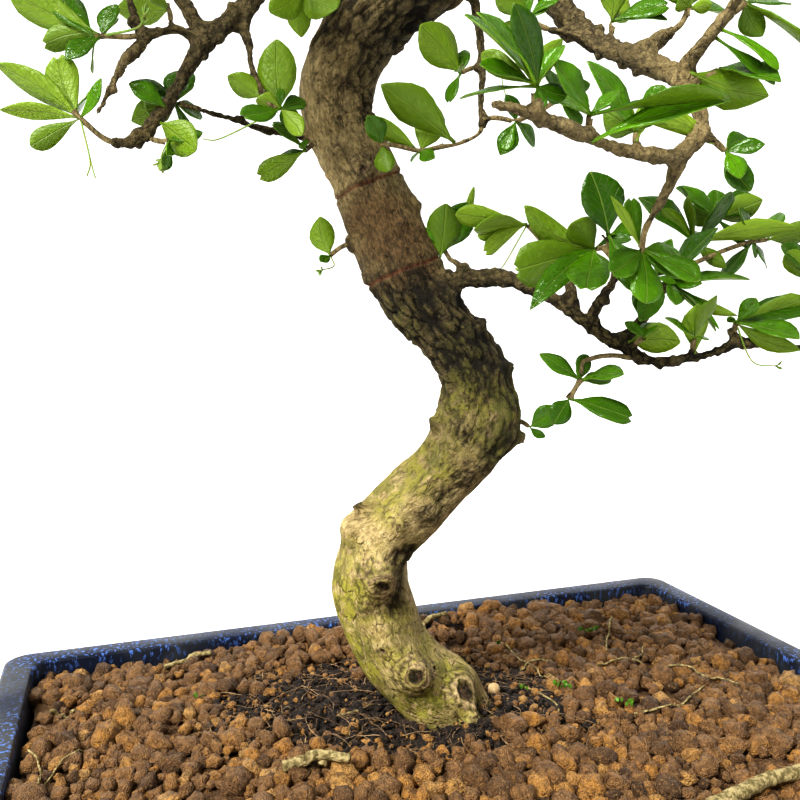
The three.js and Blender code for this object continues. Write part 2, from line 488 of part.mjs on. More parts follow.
function makePot() {
  const rimLow = POT_HEIGHT - RIM_TALL;
  const body = solidOf(stacked([
    potWall(WALL_LEAN, FOOT_TALL),
    potWall(WALL_LEAN * 0.4, POT_HEIGHT * 0.5),
    potWall(0, rimLow - 2),
    potWall(0, rimLow, RIM_OVERHANG - 1),
    potWall(0, rimLow + 2, RIM_OVERHANG),
    potWall(0, POT_HEIGHT - RIM_ROUND, RIM_OVERHANG),
    potWall(0, POT_HEIGHT, RIM_OVERHANG - RIM_ROUND),
  ]));
  let pot = body.subtract(solidOf(cavity(0, FLOOR_TOP, POT_HEIGHT + 0.001)));
  const inset = RIM_OVERHANG + WALL_LEAN + FOOT_INSET;
  for (const sx of [-1, 1]) {
    for (const sy of [-1, 1]) {
      const x = sx * (POT_WIDTH / 2 - inset - FOOT_LENGTH / 2);
      const y = sy * (POT_DEPTH / 2 - inset - FOOT_WIDTH / 2);
      const sole = roundedOutline(FOOT_LENGTH - FOOT_TAPER, FOOT_WIDTH - FOOT_TAPER, FOOT_ROUND - 1, 1);
      const ankle = roundedOutline(FOOT_LENGTH, FOOT_WIDTH, FOOT_ROUND, 1);
      const foot = stacked([{ z: 0, outline: sole }, { z: FOOT_TALL + 2, outline: ankle }]);
      pot = pot.add(solidOf(foot.translate(x, y, 0)));
    }
  }
  for (const side of [-1, 1]) {
    const hole = new THREE.CylinderGeometry(DRAIN_RADIUS, DRAIN_RADIUS, FLOOR_TOP * 2, DRAIN_SIDES);
    hole.rotateX(Math.PI / 2).translate((side * DRAIN_SPACING) / 2, 0, FLOOR_TOP);
    pot = pot.subtract(solidOf(hole));
  }
  return geometryOf(pot);
}

function makeDrainMesh() {
  let plate = solidOf(new THREE.BoxGeometry(MESH_SIDE, MESH_SIDE, MESH_TALL));
  for (const i of [-1, 0, 1]) {
    for (const j of [-1, 0, 1]) {
      const hole = new THREE.BoxGeometry(MESH_HOLE, MESH_HOLE, MESH_TALL * 2);
      plate = plate.subtract(solidOf(hole.translate(i * MESH_PITCH, j * MESH_PITCH, 0)));
    }
  }
  return geometryOf(plate);
}

// A slab whose top is a three-way lattice with every third point raised, as packed grains
function grainSlab(halfX, halfY, pitch, bottom, height, relief) {
  const rowTall = pitch * Math.sqrt(3) / 2;
  const rows = Math.ceil(halfY / rowTall) + 1;
  const columns = Math.ceil(halfX / pitch) + 1;
  const points = [];
  const faces = [];
  const across = 2 * columns + 1;
  for (let row = -rows; row <= rows; row += 1) {
    const shift = (row % 2 === 0 ? 0 : 0.5) * pitch;
    for (let column = -columns; column <= columns; column += 1) {
      const x = column * pitch + shift;
      const y = row * rowTall;
      const third = (((column - Math.floor(row / 2) + 2 * row) % 3) + 3) % 3;
      const wobble = Math.sin(x * 12.9898 + y * 78.233) * 43758.5453;
      const part = wobble - Math.floor(wobble);
      const lift = [1, 0.25, -0.15][third] * relief * (0.6 + 0.5 * part);
      const slide = (part - 0.5) * pitch * 0.28;
      points.push(x + slide, y - slide, height(x, y) + lift);
    }
  }
  const index = (row, column) => (row + rows) * across + column + columns;
  const edge = [];
  for (let row = -rows; row < rows; row += 1) {
    for (let column = -columns; column < columns; column += 1) {
      const a = index(row, column);
      const b = index(row, column + 1);
      const c = index(row + 1, column + 1);
      const d = index(row + 1, column);
      if (row % 2 === 0) faces.push(a, b, d, b, c, d);
      else faces.push(a, b, c, a, c, d);
    }
  }
  for (let column = -columns; column < columns; column += 1) edge.push(index(-rows, column));
  for (let row = -rows; row < rows; row += 1) edge.push(index(row, columns));
  for (let column = columns; column > -columns; column -= 1) edge.push(index(rows, column));
  for (let row = rows; row > -rows; row -= 1) edge.push(index(row, -columns));
  const first = points.length / 3;
  for (const corner of edge) points.push(points[corner * 3], points[corner * 3 + 1], bottom);
  points.push(0, 0, bottom);
  const middle = first + edge.length;
  edge.forEach((corner, i) => {
    const next = (i + 1) % edge.length;
    faces.push(corner, first + i, first + next, corner, first + next, edge[next]);
    faces.push(first + i, middle, first + next);
  });
  const geometry = new THREE.BufferGeometry();
  geometry.setAttribute('position', new THREE.Float32BufferAttribute(points, 3));
  geometry.setIndex(faces);
  return geometry;
}

const plantFrame = new THREE.Matrix4().makeRotationZ(-radians(TREE_TURN));

// Height of the soil: low along the walls, mounded towards the foot of the trunk
function soilHeight(x, y) {
  const inX = Math.min(1, Math.abs(x) / (POT_WIDTH / 2 - RIM_BAND));
  const inY = Math.min(1, Math.abs(y) / (POT_DEPTH / 2 - RIM_BAND));
  const mound = (1 - inX ** 4) * (1 - inY ** 3);
  return POT_HEIGHT - SOIL_EDGE_DROP + SOIL_MOUND * mound;
}

function ballBody(grow) {
  return stacked([
    { z: BALL_BOTTOM - grow, outline: ovalOutline(BALL_CENTRE, BALL_RADII, BALL_TAPER, grow) },
    { z: BALL_SHOULDER, outline: ovalOutline(BALL_CENTRE, BALL_RADII, 1, grow) },
    { z: POT_HEIGHT + SPARE, outline: ovalOutline(BALL_CENTRE, BALL_RADII, BALL_FLARE, grow) },
  ]).applyMatrix4(plantFrame);
}

function makeSoil() {
  const slab = grainSlab(POT_WIDTH / 2, POT_DEPTH / 2, SOIL_PITCH, 0, soilHeight, GRAIN_TALL);
  let soil = solidOf(slab).intersect(solidOf(cavity(GAP, FLOOR_TOP + GAP, POT_HEIGHT + SPARE)));
  soil = soil.subtract(solidOf(ballBody(GAP)));
  for (const side of [-1, 1]) {
    const room = MESH_SIDE + 2 * GAP;
    const pocket = new THREE.BoxGeometry(room, room, 2 * (MESH_TALL + 2 * GAP));
    soil = soil.subtract(solidOf(pocket.translate((side * DRAIN_SPACING) / 2, 0, FLOOR_TOP)));
  }
  return geometryOf(soil);
}

const grown = (points, by) => points.map(([x, y, z, r]) => [x, y, z, r + by]);

// The trunk with its roots and cut stubs, thicker by extra, which is also the hole it stands in
function trunkBody(extra = 0) {
  return [
    limb(grown(TRUNK, extra), TRUNK_SIDES, trunkFlutes),
    ...ROOTS.map((root) => limb(grown(root, extra), 5)),
    ...STUBS.map(([centre, out, reach, radius]) => straight(centre, out, reach + extra,
      radius * STUB_FLARE + extra, radius + extra, 7)),
  ];
}

function makeRootBall(trunkSolid) {
  const height = (x, y) => soilHeight(x, y) - PEAT_DROP;
  const slab = grainSlab(POT_WIDTH / 2, POT_DEPTH / 2, PEAT_PITCH, 0, height, PEAT_TALL);
  const ball = solidOf(slab).intersect(solidOf(ballBody(0)));
  return geometryOf(ball.subtract(trunkSolid));
}

// Boxes round what already stands, which later leaves are bent clear of
const taken = [];

function boxOf(centre, half, side, along, up, spray) {
  const rotation = new THREE.Matrix3().set(side.x, along.x, up.x, side.y, along.y, up.y,
    side.z, along.z, up.z);
  return { box: new OBB(centre, half, rotation), centre, reach: half.length(), spray };
}

function takeLimb(points, spray = '') {
  for (let i = 0; i + 1 < points.length; i += 1) {
    const start = vec(points[i]);
    const end = vec(points[i + 1]);
    const along = end.clone().sub(start).normalize();
    const side = new THREE.Vector3(along.y, -along.x, 0.001).cross(along).normalize();
    const up = new THREE.Vector3().crossVectors(side, along);
    const radius = Math.max(points[i][3], points[i + 1][3]) + GAP;
    const half = new THREE.Vector3(radius, start.distanceTo(end) / 2, radius);
    taken.push(boxOf(start.add(end).multiplyScalar(0.5), half, side, along, up, spray));
  }
}

function leafBox(leaf, from, spray) {
  const drop = leaf.arch * leaf.length;
  const side = new THREE.Vector3().crossVectors(leaf.along, leaf.up);
  const centre = leaf.base.clone().addScaledVector(leaf.along, (leaf.length * (1 + from)) / 2)
    .addScaledVector(leaf.up, -drop / 2);
  const half = new THREE.Vector3(leaf.width / 2 + GAP, (leaf.length * (1 - from)) / 2,
    drop / 2 + LEAF_THICK / 2 + GAP);
  return boxOf(centre, half, side, leaf.along, leaf.up, spray);
}

function isClear(leaf, spray) {
  const whole = leafBox(leaf, LEAF_NECK, spray);
  const outer = leafBox(leaf, OWN_LEAF_NECK, spray);
  return taken.every((other) => {
    const mine = other.spray === spray ? outer : whole;
    if (mine.centre.distanceTo(other.centre) > mine.reach + other.reach) return true;
    return !mine.box.intersectsOBB(other.box);
  });
}

function bent(leaf, [turn, lift]) {
  const side = new THREE.Vector3().crossVectors(leaf.along, leaf.up);
  const along = leaf.along.clone().applyAxisAngle(side, radians(lift))
    .applyAxisAngle(leaf.up, radians(turn)).normalize();
  const up = leaf.up.clone().addScaledVector(along, -leaf.up.dot(along)).normalize();
  return { ...leaf, along, up };
}

// The first bend of the leaf, at full length or shorter, that is clear of everything and whose skin
// crosses nothing of the shoot, or else the clear one that crosses least
function fitted(leaf, spray, crossed, allowed = () => true) {
  let best = { count: Infinity };
  for (const share of [1, 0.75]) {
    const size = { length: leaf.length * share, width: leaf.width * share };
    for (const bend of BENDS) {
      const tried = bent({ ...leaf, ...size }, bend);
      const count = allowed(tried) && isClear(tried, spray) ? crossed(tried) : Infinity;
      if (count < best.count) best = { count, tried };
      if (best.count === 0) break;
    }
    if (best.count === 0) break;
  }
  if (!best.tried) return null;
  taken.push(leafBox(best.tried, LEAF_NECK, spray));
  return best.tried;
}

// Whether a segment passes through the inside of a triangle
function pierces(start, end, [a, b, c]) {
  const normal = b.clone().sub(a).cross(c.clone().sub(a));
  const before = normal.dot(start.clone().sub(a));
  const after = normal.dot(end.clone().sub(a));
  if (before * after >= 0) return false;
  const hit = start.clone().lerp(end, before / (before - after));
  const turns = [[a, b], [b, c], [c, a]].map(([from, to]) => to.clone().sub(from)
    .cross(hit.clone().sub(from)).dot(normal));
  return turns.every((turn) => turn > TOUCH) || turns.every((turn) => turn < -TOUCH);
}

// Whether two triangles of a skin cross; those that share an edge fold and don't cross
function trianglesCross(one, other, points) {
  const shared = one.filter((corner) => other.includes(corner));
  if (shared.length > 1) return false;
  const corners = [one, other].map((triangle) => triangle.map((corner) => points[corner]));
  return [0, 1].some((side) => [0, 1, 2].some((k) => {
    const edge = [k, (k + 1) % 3];
    if (edge.some((end) => shared.includes([one, other][side][end]))) return false;
    return pierces(corners[side][edge[0]], corners[side][edge[1]], corners[1 - side]);
  }));
}

// A leafy shoot grown as one closed skin: rings of four points along each stem, whose side
// facets grow on into leaves and twigs or are closed
class Shoot {
  constructor() {
    this.points = [];
    this.faces = [];
    this.facets = [];
  }

  ring(points) {
    const first = this.points.length;
    this.points.push(...points);
    return points.map((_, i) => first + i);
  }

  square(centre, way, normal, radius) {
    const other = new THREE.Vector3().crossVectors(way, normal);
    return this.ring([[1, 1], [-1, 1], [-1, -1], [1, -1]].map(([a, b]) => centre.clone()
      .addScaledVector(normal, a * radius * Math.SQRT1_2)
      .addScaledVector(other, b * radius * Math.SQRT1_2)));
  }

  // Two triangles whose shared edge is a ridge, so that a twisted span bulges and doesn't cross itself
  close([a, b, c, d]) {
    const [from, , , last] = [a, b, c, d].map((i) => this.points[i]);
    const normal = this.points[b].clone().sub(from).cross(this.points[c].clone().sub(from));
    if (normal.dot(last.clone().sub(from)) <= 0) this.faces.push(a, b, c, a, c, d);
    else this.faces.push(a, b, d, b, c, d);
  }

  bridge(lower, upper) {
    for (let i = 0; i < 4; i += 1) {
      const next = (i + 1) % 4;
      this.close([lower[i], lower[next], upper[next], upper[i]]);
    }
  }

  addFacet(loop) {
    const corners = loop.map((i) => this.points[i]);
    const centre = corners.reduce((sum, p) => sum.add(p), new THREE.Vector3()).multiplyScalar(0.25);
    const across = corners[2].clone().sub(corners[0]);
    const normal = across.cross(corners[3].clone().sub(corners[1])).normalize();
    this.facets.push({ loop, centre, normal });
  }

  // Rings along a path of points with a radius each, on from the root loop. The first span is
  // closed at once, so that nothing grows out of it
  stem(path, root) {
    let lower = root;
    let normal = this.points[root[0]].clone().sub(this.points[root[2]]);
    path.forEach(({ at, radius }, i) => {
      const before = i > 0 ? path[i - 1].at : loopCentre(this, root);
      const after = i > 0 && i + 1 < path.length ? path[i + 1].at : at;
      const way = after.clone().sub(before).normalize();
      normal = normal.clone().addScaledVector(way, -normal.dot(way)).normalize();
      const upper = this.nearest(lower, this.square(at, way, turned(normal, way, -45), radius));
      if (i === 0) this.bridge(lower, upper);
      for (let k = 0; k < 4 && i > 0; k += 1) {
        const next = (k + 1) % 4;
        this.addFacet([lower[k], lower[next], upper[next], upper[k]]);
      }
      lower = upper;
    });
    this.addFacet(lower);
  }

  // The same loop, started at the point that twists least against the lower loop
  nearest(lower, upper) {
    const shifts = [0, 1, 2, 3].map((shift) => upper.map((_, i) => upper[(i + shift) % 4]));
    const twist = (loop) => loop.reduce((sum, point, i) => sum
      + this.points[point].distanceToSquared(this.points[lower[i]]), 0);
    return shifts.reduce((best, loop) => (twist(loop) < twist(best) ? loop : best));
  }

  // The free facets, those near a place that look most the given way first
  facetsToward(place, way) {
    const worth = ({ centre, normal }) => normal.dot(way) - FACET_REACH * centre.distanceTo(place);
    return [...this.facets].sort((one, other) => worth(other) - worth(one));
  }

  takeFacet(place, way) {
    const [best] = this.facetsToward(place, way);
    this.facets = this.facets.filter((facet) => facet !== best);
    return best;
  }

  // How often the faces from a count on cross the rest of the skin or each other
  crossings(firstFace) {
    const known = this.faces.length;
    this.facets.forEach(({ loop }) => this.close(loop));
    const triangles = [];
    for (let i = 0; i < this.faces.length; i += 3) triangles.push(this.faces.slice(i, i + 3));
    this.faces.length = known;
    const boxes = triangles.map((triangle) => new THREE.Box3()
      .setFromPoints(triangle.map((corner) => this.points[corner])));
    let count = 0;
    for (let i = firstFace / 3; i < known / 3; i += 1) {
      for (let j = 0; j < triangles.length; j += 1) {
        if ((j < i || j >= known / 3 || j > i) && boxes[i].intersectsBox(boxes[j])
          && trianglesCross(triangles[i], triangles[j], this.points)) count += 1;
      }
    }
    return count;
  }

  // The first likely facet from which the leaf crosses nothing, or else crosses least
  rootFor(leaf, rows) {
    const { facets } = this;
    const known = { points: this.points.length, faces: this.faces.length };
    let best = { count: Infinity };
    for (const facet of this.facetsToward(leaf.base, leaf.along).slice(0, FACET_TRIES)) {
      this.facets = facets.filter((other) => other !== facet);
      this.blade(leaf, rows, facet.loop);
      const count = this.crossings(known.faces);
      this.points.length = known.points;
      this.faces.length = known.faces;
      if (count < best.count) best = { count, facet };
      if (count === 0) break;
    }
    this.facets = facets;
    return best;
  }

  leaf(leaf, rows) {
    const { facet } = this.rootFor(leaf, rows);
    this.facets = this.facets.filter((other) => other !== facet);
    this.blade(leaf, rows, facet.loop);
  }

  // A leaf is broadest past its middle, and its tip arches away from its upper side
  blade(leaf, rows, root) {
    const side = new THREE.Vector3().crossVectors(leaf.along, leaf.up);
    let lower = root;
    for (const [place, share] of rows) {
      const middle = leaf.base.clone().addScaledVector(leaf.along, place * leaf.length)
        .addScaledVector(leaf.up, -leaf.arch * leaf.length * place * place);
      const half = (leaf.width * share) / 2;
      const section = this.ring([[-1, -1], [-1, 1], [1, 1], [1, -1]].map(([a, b]) => middle.clone()
        .addScaledVector(side, a * half).addScaledVector(leaf.up, (b * LEAF_THICK) / 2)));
      const upper = this.nearest(lower, section);
      this.bridge(lower, upper);
      lower = upper;
    }
    this.close(lower);
  }

  geometry() {
    this.facets.forEach(({ loop }) => this.close(loop));
    const geometry = new THREE.BufferGeometry();
    geometry.setFromPoints(this.points);
    geometry.setIndex(this.faces);
    geometry.computeVertexNormals();
    return geometry;
  }
}

function loopCentre(shoot, loop) {
  return loop.reduce((sum, i) => sum.add(shoot.points[i]), new THREE.Vector3()).multiplyScalar(0.25);
}

const turned = (normal, axis, angle) => normal.clone().applyAxisAngle(axis, radians(angle));

function showLeaf(base, [clock, tilt, face, length, width]) {
  const flat = Math.cos(radians(tilt));
  const along = new THREE.Vector3(Math.cos(radians(clock)) * flat, -Math.sin(radians(tilt)),
    Math.sin(radians(clock)) * flat);
  const front = new THREE.Vector3(0, -1, 0).addScaledVector(along, along.y).normalize();
  const over = new THREE.Vector3().crossVectors(along, front);
  if (over.z < 0) over.negate();
  const up = front.multiplyScalar(Math.sin(radians(face)))
    .addScaledVector(over, Math.cos(radians(face))).normalize();
  return { base: vec(base), along, up, length, width, arch: LEAF_ARCH };
}

const nubs = [];

// The way that the branch ending at a point runs there
function endWay(foot) {
  const branch = BRANCHES.find((points) => vec(points[points.length - 1]).distanceTo(vec(foot)) < 0.1);
  return new THREE.CatmullRomCurve3(branch.map(vec)).getTangent(1);
}

// The root ring of a shoot, just clear of the branch's end or of a flat-ended nub on its side
function rootedShoot(foot, out, reach) {
  const way = reach ? vec(out).normalize() : endWay(foot);
  const end = vec(foot).addScaledVector(way, reach);
  if (reach) nubs.push(limb([[...foot, NUB_RADIUS + NUB_FLARE], [...end.toArray(), NUB_RADIUS]], 5));
  const shoot = new Shoot();
  const normal = new THREE.Vector3(0.1, 0.2, 1).cross(way).normalize();
  const root = shoot.square(end.clone().addScaledVector(way, GAP), way, normal, STEM_RADIUS + 0.3);
  shoot.close([...root].reverse());
  return { shoot, root, start: end.addScaledVector(way, GAP + 1.2) };
}

// A path through points, with close rings below each point that bears leaves
function leafyPath(start, points, leafCounts) {
  const path = [];
  let before = start;
  points.forEach((at, i) => {
    const rings = Math.min(Math.ceil(leafCounts[i] / 2), Math.floor(at.distanceTo(before) / LEAF_STEP));
    const back = before.clone().sub(at).normalize();
    for (let ring = rings; ring > 0; ring -= 1) {
      path.push({ at: at.clone().addScaledVector(back, ring * LEAF_STEP), radius: STEM_RADIUS });
    }
    path.push({ at, radius: STEM_RADIUS });
    before = at;
  });
  return path;
}

function takePath(start, path, name) {
  const points = [start, ...path.map(({ at }) => at)];
  takeLimb(points.map((at) => [...at.toArray(), STEM_RADIUS]), name);
}

const rowsOf = (leaf) => (leaf.length < SMALL_LEAF ? SHORT_ROWS : FULL_ROWS);

function makeShowSpray({ name, foot, out, reach = 0, stems, tufts }) {
  const { shoot, root, start } = rootedShoot(foot, out, reach);
  const leavesNear = (point) => tufts.filter(([base]) => vec(base).distanceTo(point) < NEAR_TUFT)
    .reduce((sum, tuft) => sum + tuft.length - 1, 0);
  stems.forEach((stem, i) => {
    const points = stem.map(vec);
    const from = i === 0 ? start : points.shift();
    const way = points[0].clone().sub(from).normalize();
    const loop = i === 0 ? root : shoot.takeFacet(from, way).loop;
    const path = leafyPath(from, points, points.map(leavesNear));
    shoot.stem(i === 0 ? [{ at: start, radius: STEM_RADIUS + 0.1 }, ...path] : path, loop);
    takePath(from, path, name);
  });
  for (const [base, ...leaves] of tufts) {
    for (const numbers of leaves) {
      const leaf = fitted(showLeaf(base, numbers), name,
        (tried) => shoot.rootFor(tried, rowsOf(tried)).count);
      if (leaf) shoot.leaf(leaf, rowsOf(leaf));
    }
  }
  return shoot.geometry();
}

function seededDraws(seed) {
  let state = seed;
  return () => {
    state = (state + 0x6d2b79f5) | 0;
    let t = Math.imul(state ^ (state >>> 15), 1 | state);
    t = (t + Math.imul(t ^ (t >>> 7), 61 | t)) ^ t;
    return ((t ^ (t >>> 14)) >>> 0) / 4294967296;
  };
}

// Crown leaves stay above a slope that rises away from the show side, so the trunk stays bare
function aboveSlope(leaf) {
  const tip = leaf.base.clone().addScaledVector(leaf.along, leaf.length)
    .addScaledVector(leaf.up, -leaf.arch * leaf.length);
  return tip.z > CROWN_LOW + CROWN_RISE * (tip.y + VIEW_BACK);
}

// A leaf that leans out from a stem by spread degrees, turned round it by turn degrees
function crownLeaf(base, way, turn, spread, length, draw) {
  const aside = new THREE.Vector3(0, 0, 1).cross(way).normalize().applyAxisAngle(way, radians(turn));
  const along = way.clone().multiplyScalar(Math.cos(radians(spread)))
    .addScaledVector(aside, Math.sin(radians(spread))).normalize();
  const sky = new THREE.Vector3(0.3 * (draw() - 0.5), 0.3 * (draw() - 0.5), 1);
  const up = sky.addScaledVector(way, -0.25);
  up.addScaledVector(along, -up.dot(along)).normalize();
  return { base, along, up, length, width: length * (0.44 + 0.1 * draw()), arch: LEAF_ARCH };
}

// A bough end of the crown: a stem with side twigs, and leaves at every end and fork
function makeCrownSpray([name, foot, out, reach = 0], draw) {
  const { shoot, root, start } = rootedShoot(foot, out, reach);
  const way = vec(out).normalize();
  const swing = new THREE.Vector3(draw() - 0.5, draw() - 0.5, 0.35);
  const at = (share) => start.clone().addScaledVector(way, share * CROWN_STEM)
    .addScaledVector(swing, share * share * CROWN_SWING);
  const stem = leafyPath(start, [...CROWN_FORKS, 1].map(at), [1, 1, 1]);
  shoot.stem([{ at: start, radius: STEM_RADIUS + 0.1 }, ...stem], root);
  takePath(start, stem, name);
  const ends = [{ base: at(1), grow: way, count: CROWN_TUFT, spread: END_SPREAD }];
  CROWN_FORKS.forEach((share, i) => {
    const aside = new THREE.Vector3(0, 0, 1).cross(way).normalize();
    const swung = turned(aside, way, i * 180 + (draw() - 0.5) * 80);
    const grow = way.clone().multiplyScalar(0.5).addScaledVector(swung, 0.9);
    grow.z = Math.abs(grow.z) * 0.6 + 0.1;
    grow.normalize();
    const tip = at(share).addScaledVector(grow, CROWN_TWIG);
    const facet = shoot.takeFacet(at(share), grow);
    const twig = leafyPath(at(share).addScaledVector(grow, 3), [tip], [1]);
    shoot.stem(twig, facet.loop);
    takePath(facet.centre, twig, name);
    ends.push({ base: tip, grow, count: CROWN_TUFT, spread: TWIG_SPREAD });
    ends.push({ base: at(share), grow: way, count: 1, spread: FORK_SPREAD });
  });
  for (const { base, grow, count, spread } of ends) {
    const first = draw() * 360;
    for (let i = 0; i < count; i += 1) {
      const turn = first + (i * 360) / count + draw() * TURN_RANGE;
      const length = CROWN_LEAF * (0.75 + 0.4 * draw());
      const lean = spread + SPREAD_RANGE * draw();
      const wanted = crownLeaf(base, grow, turn, lean, length, draw);
      const leaf = fitted(wanted, name, (tried) => shoot.rootFor(tried, SHORT_ROWS).count, aboveSlope);
      if (leaf) shoot.leaf(leaf, SHORT_ROWS);
    }
  }
  return shoot.geometry();
}

function makeTrunk() {
  const branches = BRANCHES.map((points) => limb(points, points[0][3] > THICK_LIMB ? 7 : 5));
  return joined([...trunkBody(), ...branches, ...nubs].map(solidOf));
}

const material = (color, roughness, metalness = 0) => new THREE.MeshStandardMaterial({
  color, roughness, metalness,
});
const glaze = material(0x3c4450, 0.25);
const akadama = material(0x7a4f30, 0.95);
const peat = material(0x231c19, 0.95);
const netting = material(0x202322, 0.6);
const bark = material(0x8f805f, 0.85);
const leafGreen = material(0x2f6f1c, 0.3);

function named(name, geometry, look) {
  const mesh = new THREE.Mesh(geometry, look);
  mesh.name = name;
  return mesh;
}

[TRUNK, ...BRANCHES].forEach((points) => takeLimb(points));

const plant = new THREE.Group();
plant.rotation.z = -radians(TREE_TURN);
for (const spray of SHOW_SPRAYS) plant.add(named(spray.name, makeShowSpray(spray), leafGreen));
const draw = seededDraws(CROWN_SEED);
for (const spray of CROWN_SPRAYS) {
  plant.add(named(`spray_${spray[0]}`, makeCrownSpray(spray, draw), leafGreen));
}
plant.add(named('trunk', geometryOf(makeTrunk()), bark));

const group = new THREE.Group();
group.add(named('pot', makePot(), glaze));
group.add(named('akadama_soil', makeSoil(), akadama));
const stumpHole = solidOf(geometryOf(joined(trunkBody(GAP + 0.1).map(solidOf)))
  .applyMatrix4(plantFrame));
group.add(named('root_ball', makeRootBall(stumpHole), peat));
for (const [name, side] of [['drain_mesh_left', -1], ['drain_mesh_right', 1]]) {
  const mesh = named(name, makeDrainMesh(), netting);
  mesh.position.set((side * DRAIN_SPACING) / 2, 0, FLOOR_TOP + GAP + MESH_TALL / 2);
  group.add(mesh);
}
group.add(plant);

// The origin is under the middle of the whole object, on the ground
const bounds = new THREE.Box3().setFromObject(group, true);
group.position.set(-(bounds.min.x + bounds.max.x) / 2, -(bounds.min.y + bounds.max.y) / 2, 0);

export default group;
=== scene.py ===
"""Dresses a fukien tea bonsai in its glazed pot: bark, leaves, clay grains, peat and glaze.

Lengths are in metres, unless a name ends in _mm. The tree has axes of its own, seen from its
show side: x to the right, y away from the viewer, z up from the ground. TreeAxes turns a place
in those axes into the part's frame.
"""

from __future__ import annotations

import logging
import math
from collections.abc import Callable, Iterator
from contextlib import contextmanager
from dataclasses import dataclass, field
from enum import Enum

import bmesh
import bpy
import numpy as np
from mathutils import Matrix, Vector, noise
from mathutils.bvhtree import BVHTree
from mathutils.kdtree import KDTree


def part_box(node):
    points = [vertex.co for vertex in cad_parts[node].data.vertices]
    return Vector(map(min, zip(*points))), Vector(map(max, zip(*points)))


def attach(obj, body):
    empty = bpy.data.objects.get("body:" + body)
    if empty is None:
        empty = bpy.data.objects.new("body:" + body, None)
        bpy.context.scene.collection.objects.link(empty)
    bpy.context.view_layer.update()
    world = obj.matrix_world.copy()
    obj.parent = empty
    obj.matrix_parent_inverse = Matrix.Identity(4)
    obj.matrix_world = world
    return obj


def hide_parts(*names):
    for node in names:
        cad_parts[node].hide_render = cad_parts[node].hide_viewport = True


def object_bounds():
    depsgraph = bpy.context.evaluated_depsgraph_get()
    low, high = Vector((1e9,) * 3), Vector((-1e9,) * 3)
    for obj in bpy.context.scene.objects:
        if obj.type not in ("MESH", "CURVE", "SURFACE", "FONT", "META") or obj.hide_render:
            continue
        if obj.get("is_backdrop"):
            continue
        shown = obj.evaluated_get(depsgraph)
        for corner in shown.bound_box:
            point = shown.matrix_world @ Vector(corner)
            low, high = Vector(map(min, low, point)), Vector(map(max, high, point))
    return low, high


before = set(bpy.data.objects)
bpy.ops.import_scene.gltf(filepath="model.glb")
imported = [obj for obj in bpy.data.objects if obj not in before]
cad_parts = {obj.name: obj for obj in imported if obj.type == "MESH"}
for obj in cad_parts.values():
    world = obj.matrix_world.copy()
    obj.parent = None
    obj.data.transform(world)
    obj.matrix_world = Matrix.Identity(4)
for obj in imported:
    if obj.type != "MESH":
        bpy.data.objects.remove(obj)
CAD_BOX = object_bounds()

LOG = logging.getLogger("bonsai")
MM = 0.001
ROOT = "root"
MERGE_GAP = 2e-6
LEAF_UV = "leaf_uv"

Rgb = tuple[float, float, float]
Point = tuple[float, float, float]


class Slot(Enum):
    """The record's material slots."""

    GLAZE = "glaze"
    CLAY = "akadama"
    PEAT = "peat"
    BARK = "bark"
    LEAF = "leaf"


# Small tools for meshes


def pick(obj: bpy.types.Object) -> None:
    """Selects one object alone and makes it active.

    Args:
        obj: The object to work on.
    """
    bpy.ops.object.select_all(action="DESELECT")
    obj.select_set(True)
    bpy.context.view_layer.objects.active = obj


@contextmanager
def editing(obj: bpy.types.Object, whole: bool = True) -> Iterator[None]:
    """Edit mode on one object.

    Args:
        obj: The object to edit.
        whole: Whether everything in it gets selected, or only what already was.

    Yields:
        Nothing; the object is back in object mode afterwards.
    """
    pick(obj)
    bpy.ops.object.mode_set(mode="EDIT")
    if whole:
        bpy.ops.mesh.select_all(action="SELECT")
    yield
    bpy.ops.object.mode_set(mode="OBJECT")


def apply(obj: bpy.types.Object, kind: str, **settings: object) -> None:
    """Adds a modifier and applies it.

    Args:
        obj: The object that it changes.
        kind: The modifier's type.
        **settings: The modifier's own settings.
    """
    pick(obj)
    modifier = obj.modifiers.new(kind.lower(), kind)
    for name, value in settings.items():
        setattr(modifier, name, value)
    bpy.ops.object.modifier_apply(modifier=modifier.name)


def settle(obj: bpy.types.Object) -> None:
    """Puts an object's place into its mesh, which leaves it at the origin and unturned."""
    pick(obj)
    bpy.ops.object.transform_apply(location=True, rotation=True, scale=True)


def unite(obj: bpy.types.Object, others: list[bpy.types.Object]) -> bpy.types.Object:
    """Joins objects into the first one.

    Args:
        obj: The object that stays.
        others: The objects that go into it.

    Returns:
        The joined object.
    """
    pick(obj)
    for other in others:
        other.select_set(True)
    bpy.ops.object.join()
    return obj


def new_object(name: str, data: bpy.types.ID) -> bpy.types.Object:
    """Links a mesh, a curve, a lamp or a camera into the scene as an object.

    Args:
        name: The object's name.
        data: What it holds.

    Returns:
        The new object.
    """
    obj = bpy.data.objects.new(name, data)
    bpy.context.scene.collection.objects.link(obj)
    return obj


def copy_of(node: str, name: str) -> bpy.types.Object:
    """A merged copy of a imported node, free to be reshaped.

    Args:
        node: The node's name.
        name: The copy's name.

    Returns:
        The copy.
    """
    obj = new_object(name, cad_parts[node].data.copy())
    obj.data.materials.clear()
    with editing(obj):
        bpy.ops.mesh.remove_doubles(threshold=MERGE_GAP)
    return obj


def tree_of(obj: bpy.types.Object) -> BVHTree:
    """A search tree of a mesh.

    Args:
        obj: The object with the mesh.

    Returns:
        The tree of its faces.
    """
    mesh = obj.data
    return BVHTree.FromPolygons([vert.co for vert in mesh.vertices],
                                [face.vertices for face in mesh.polygons])


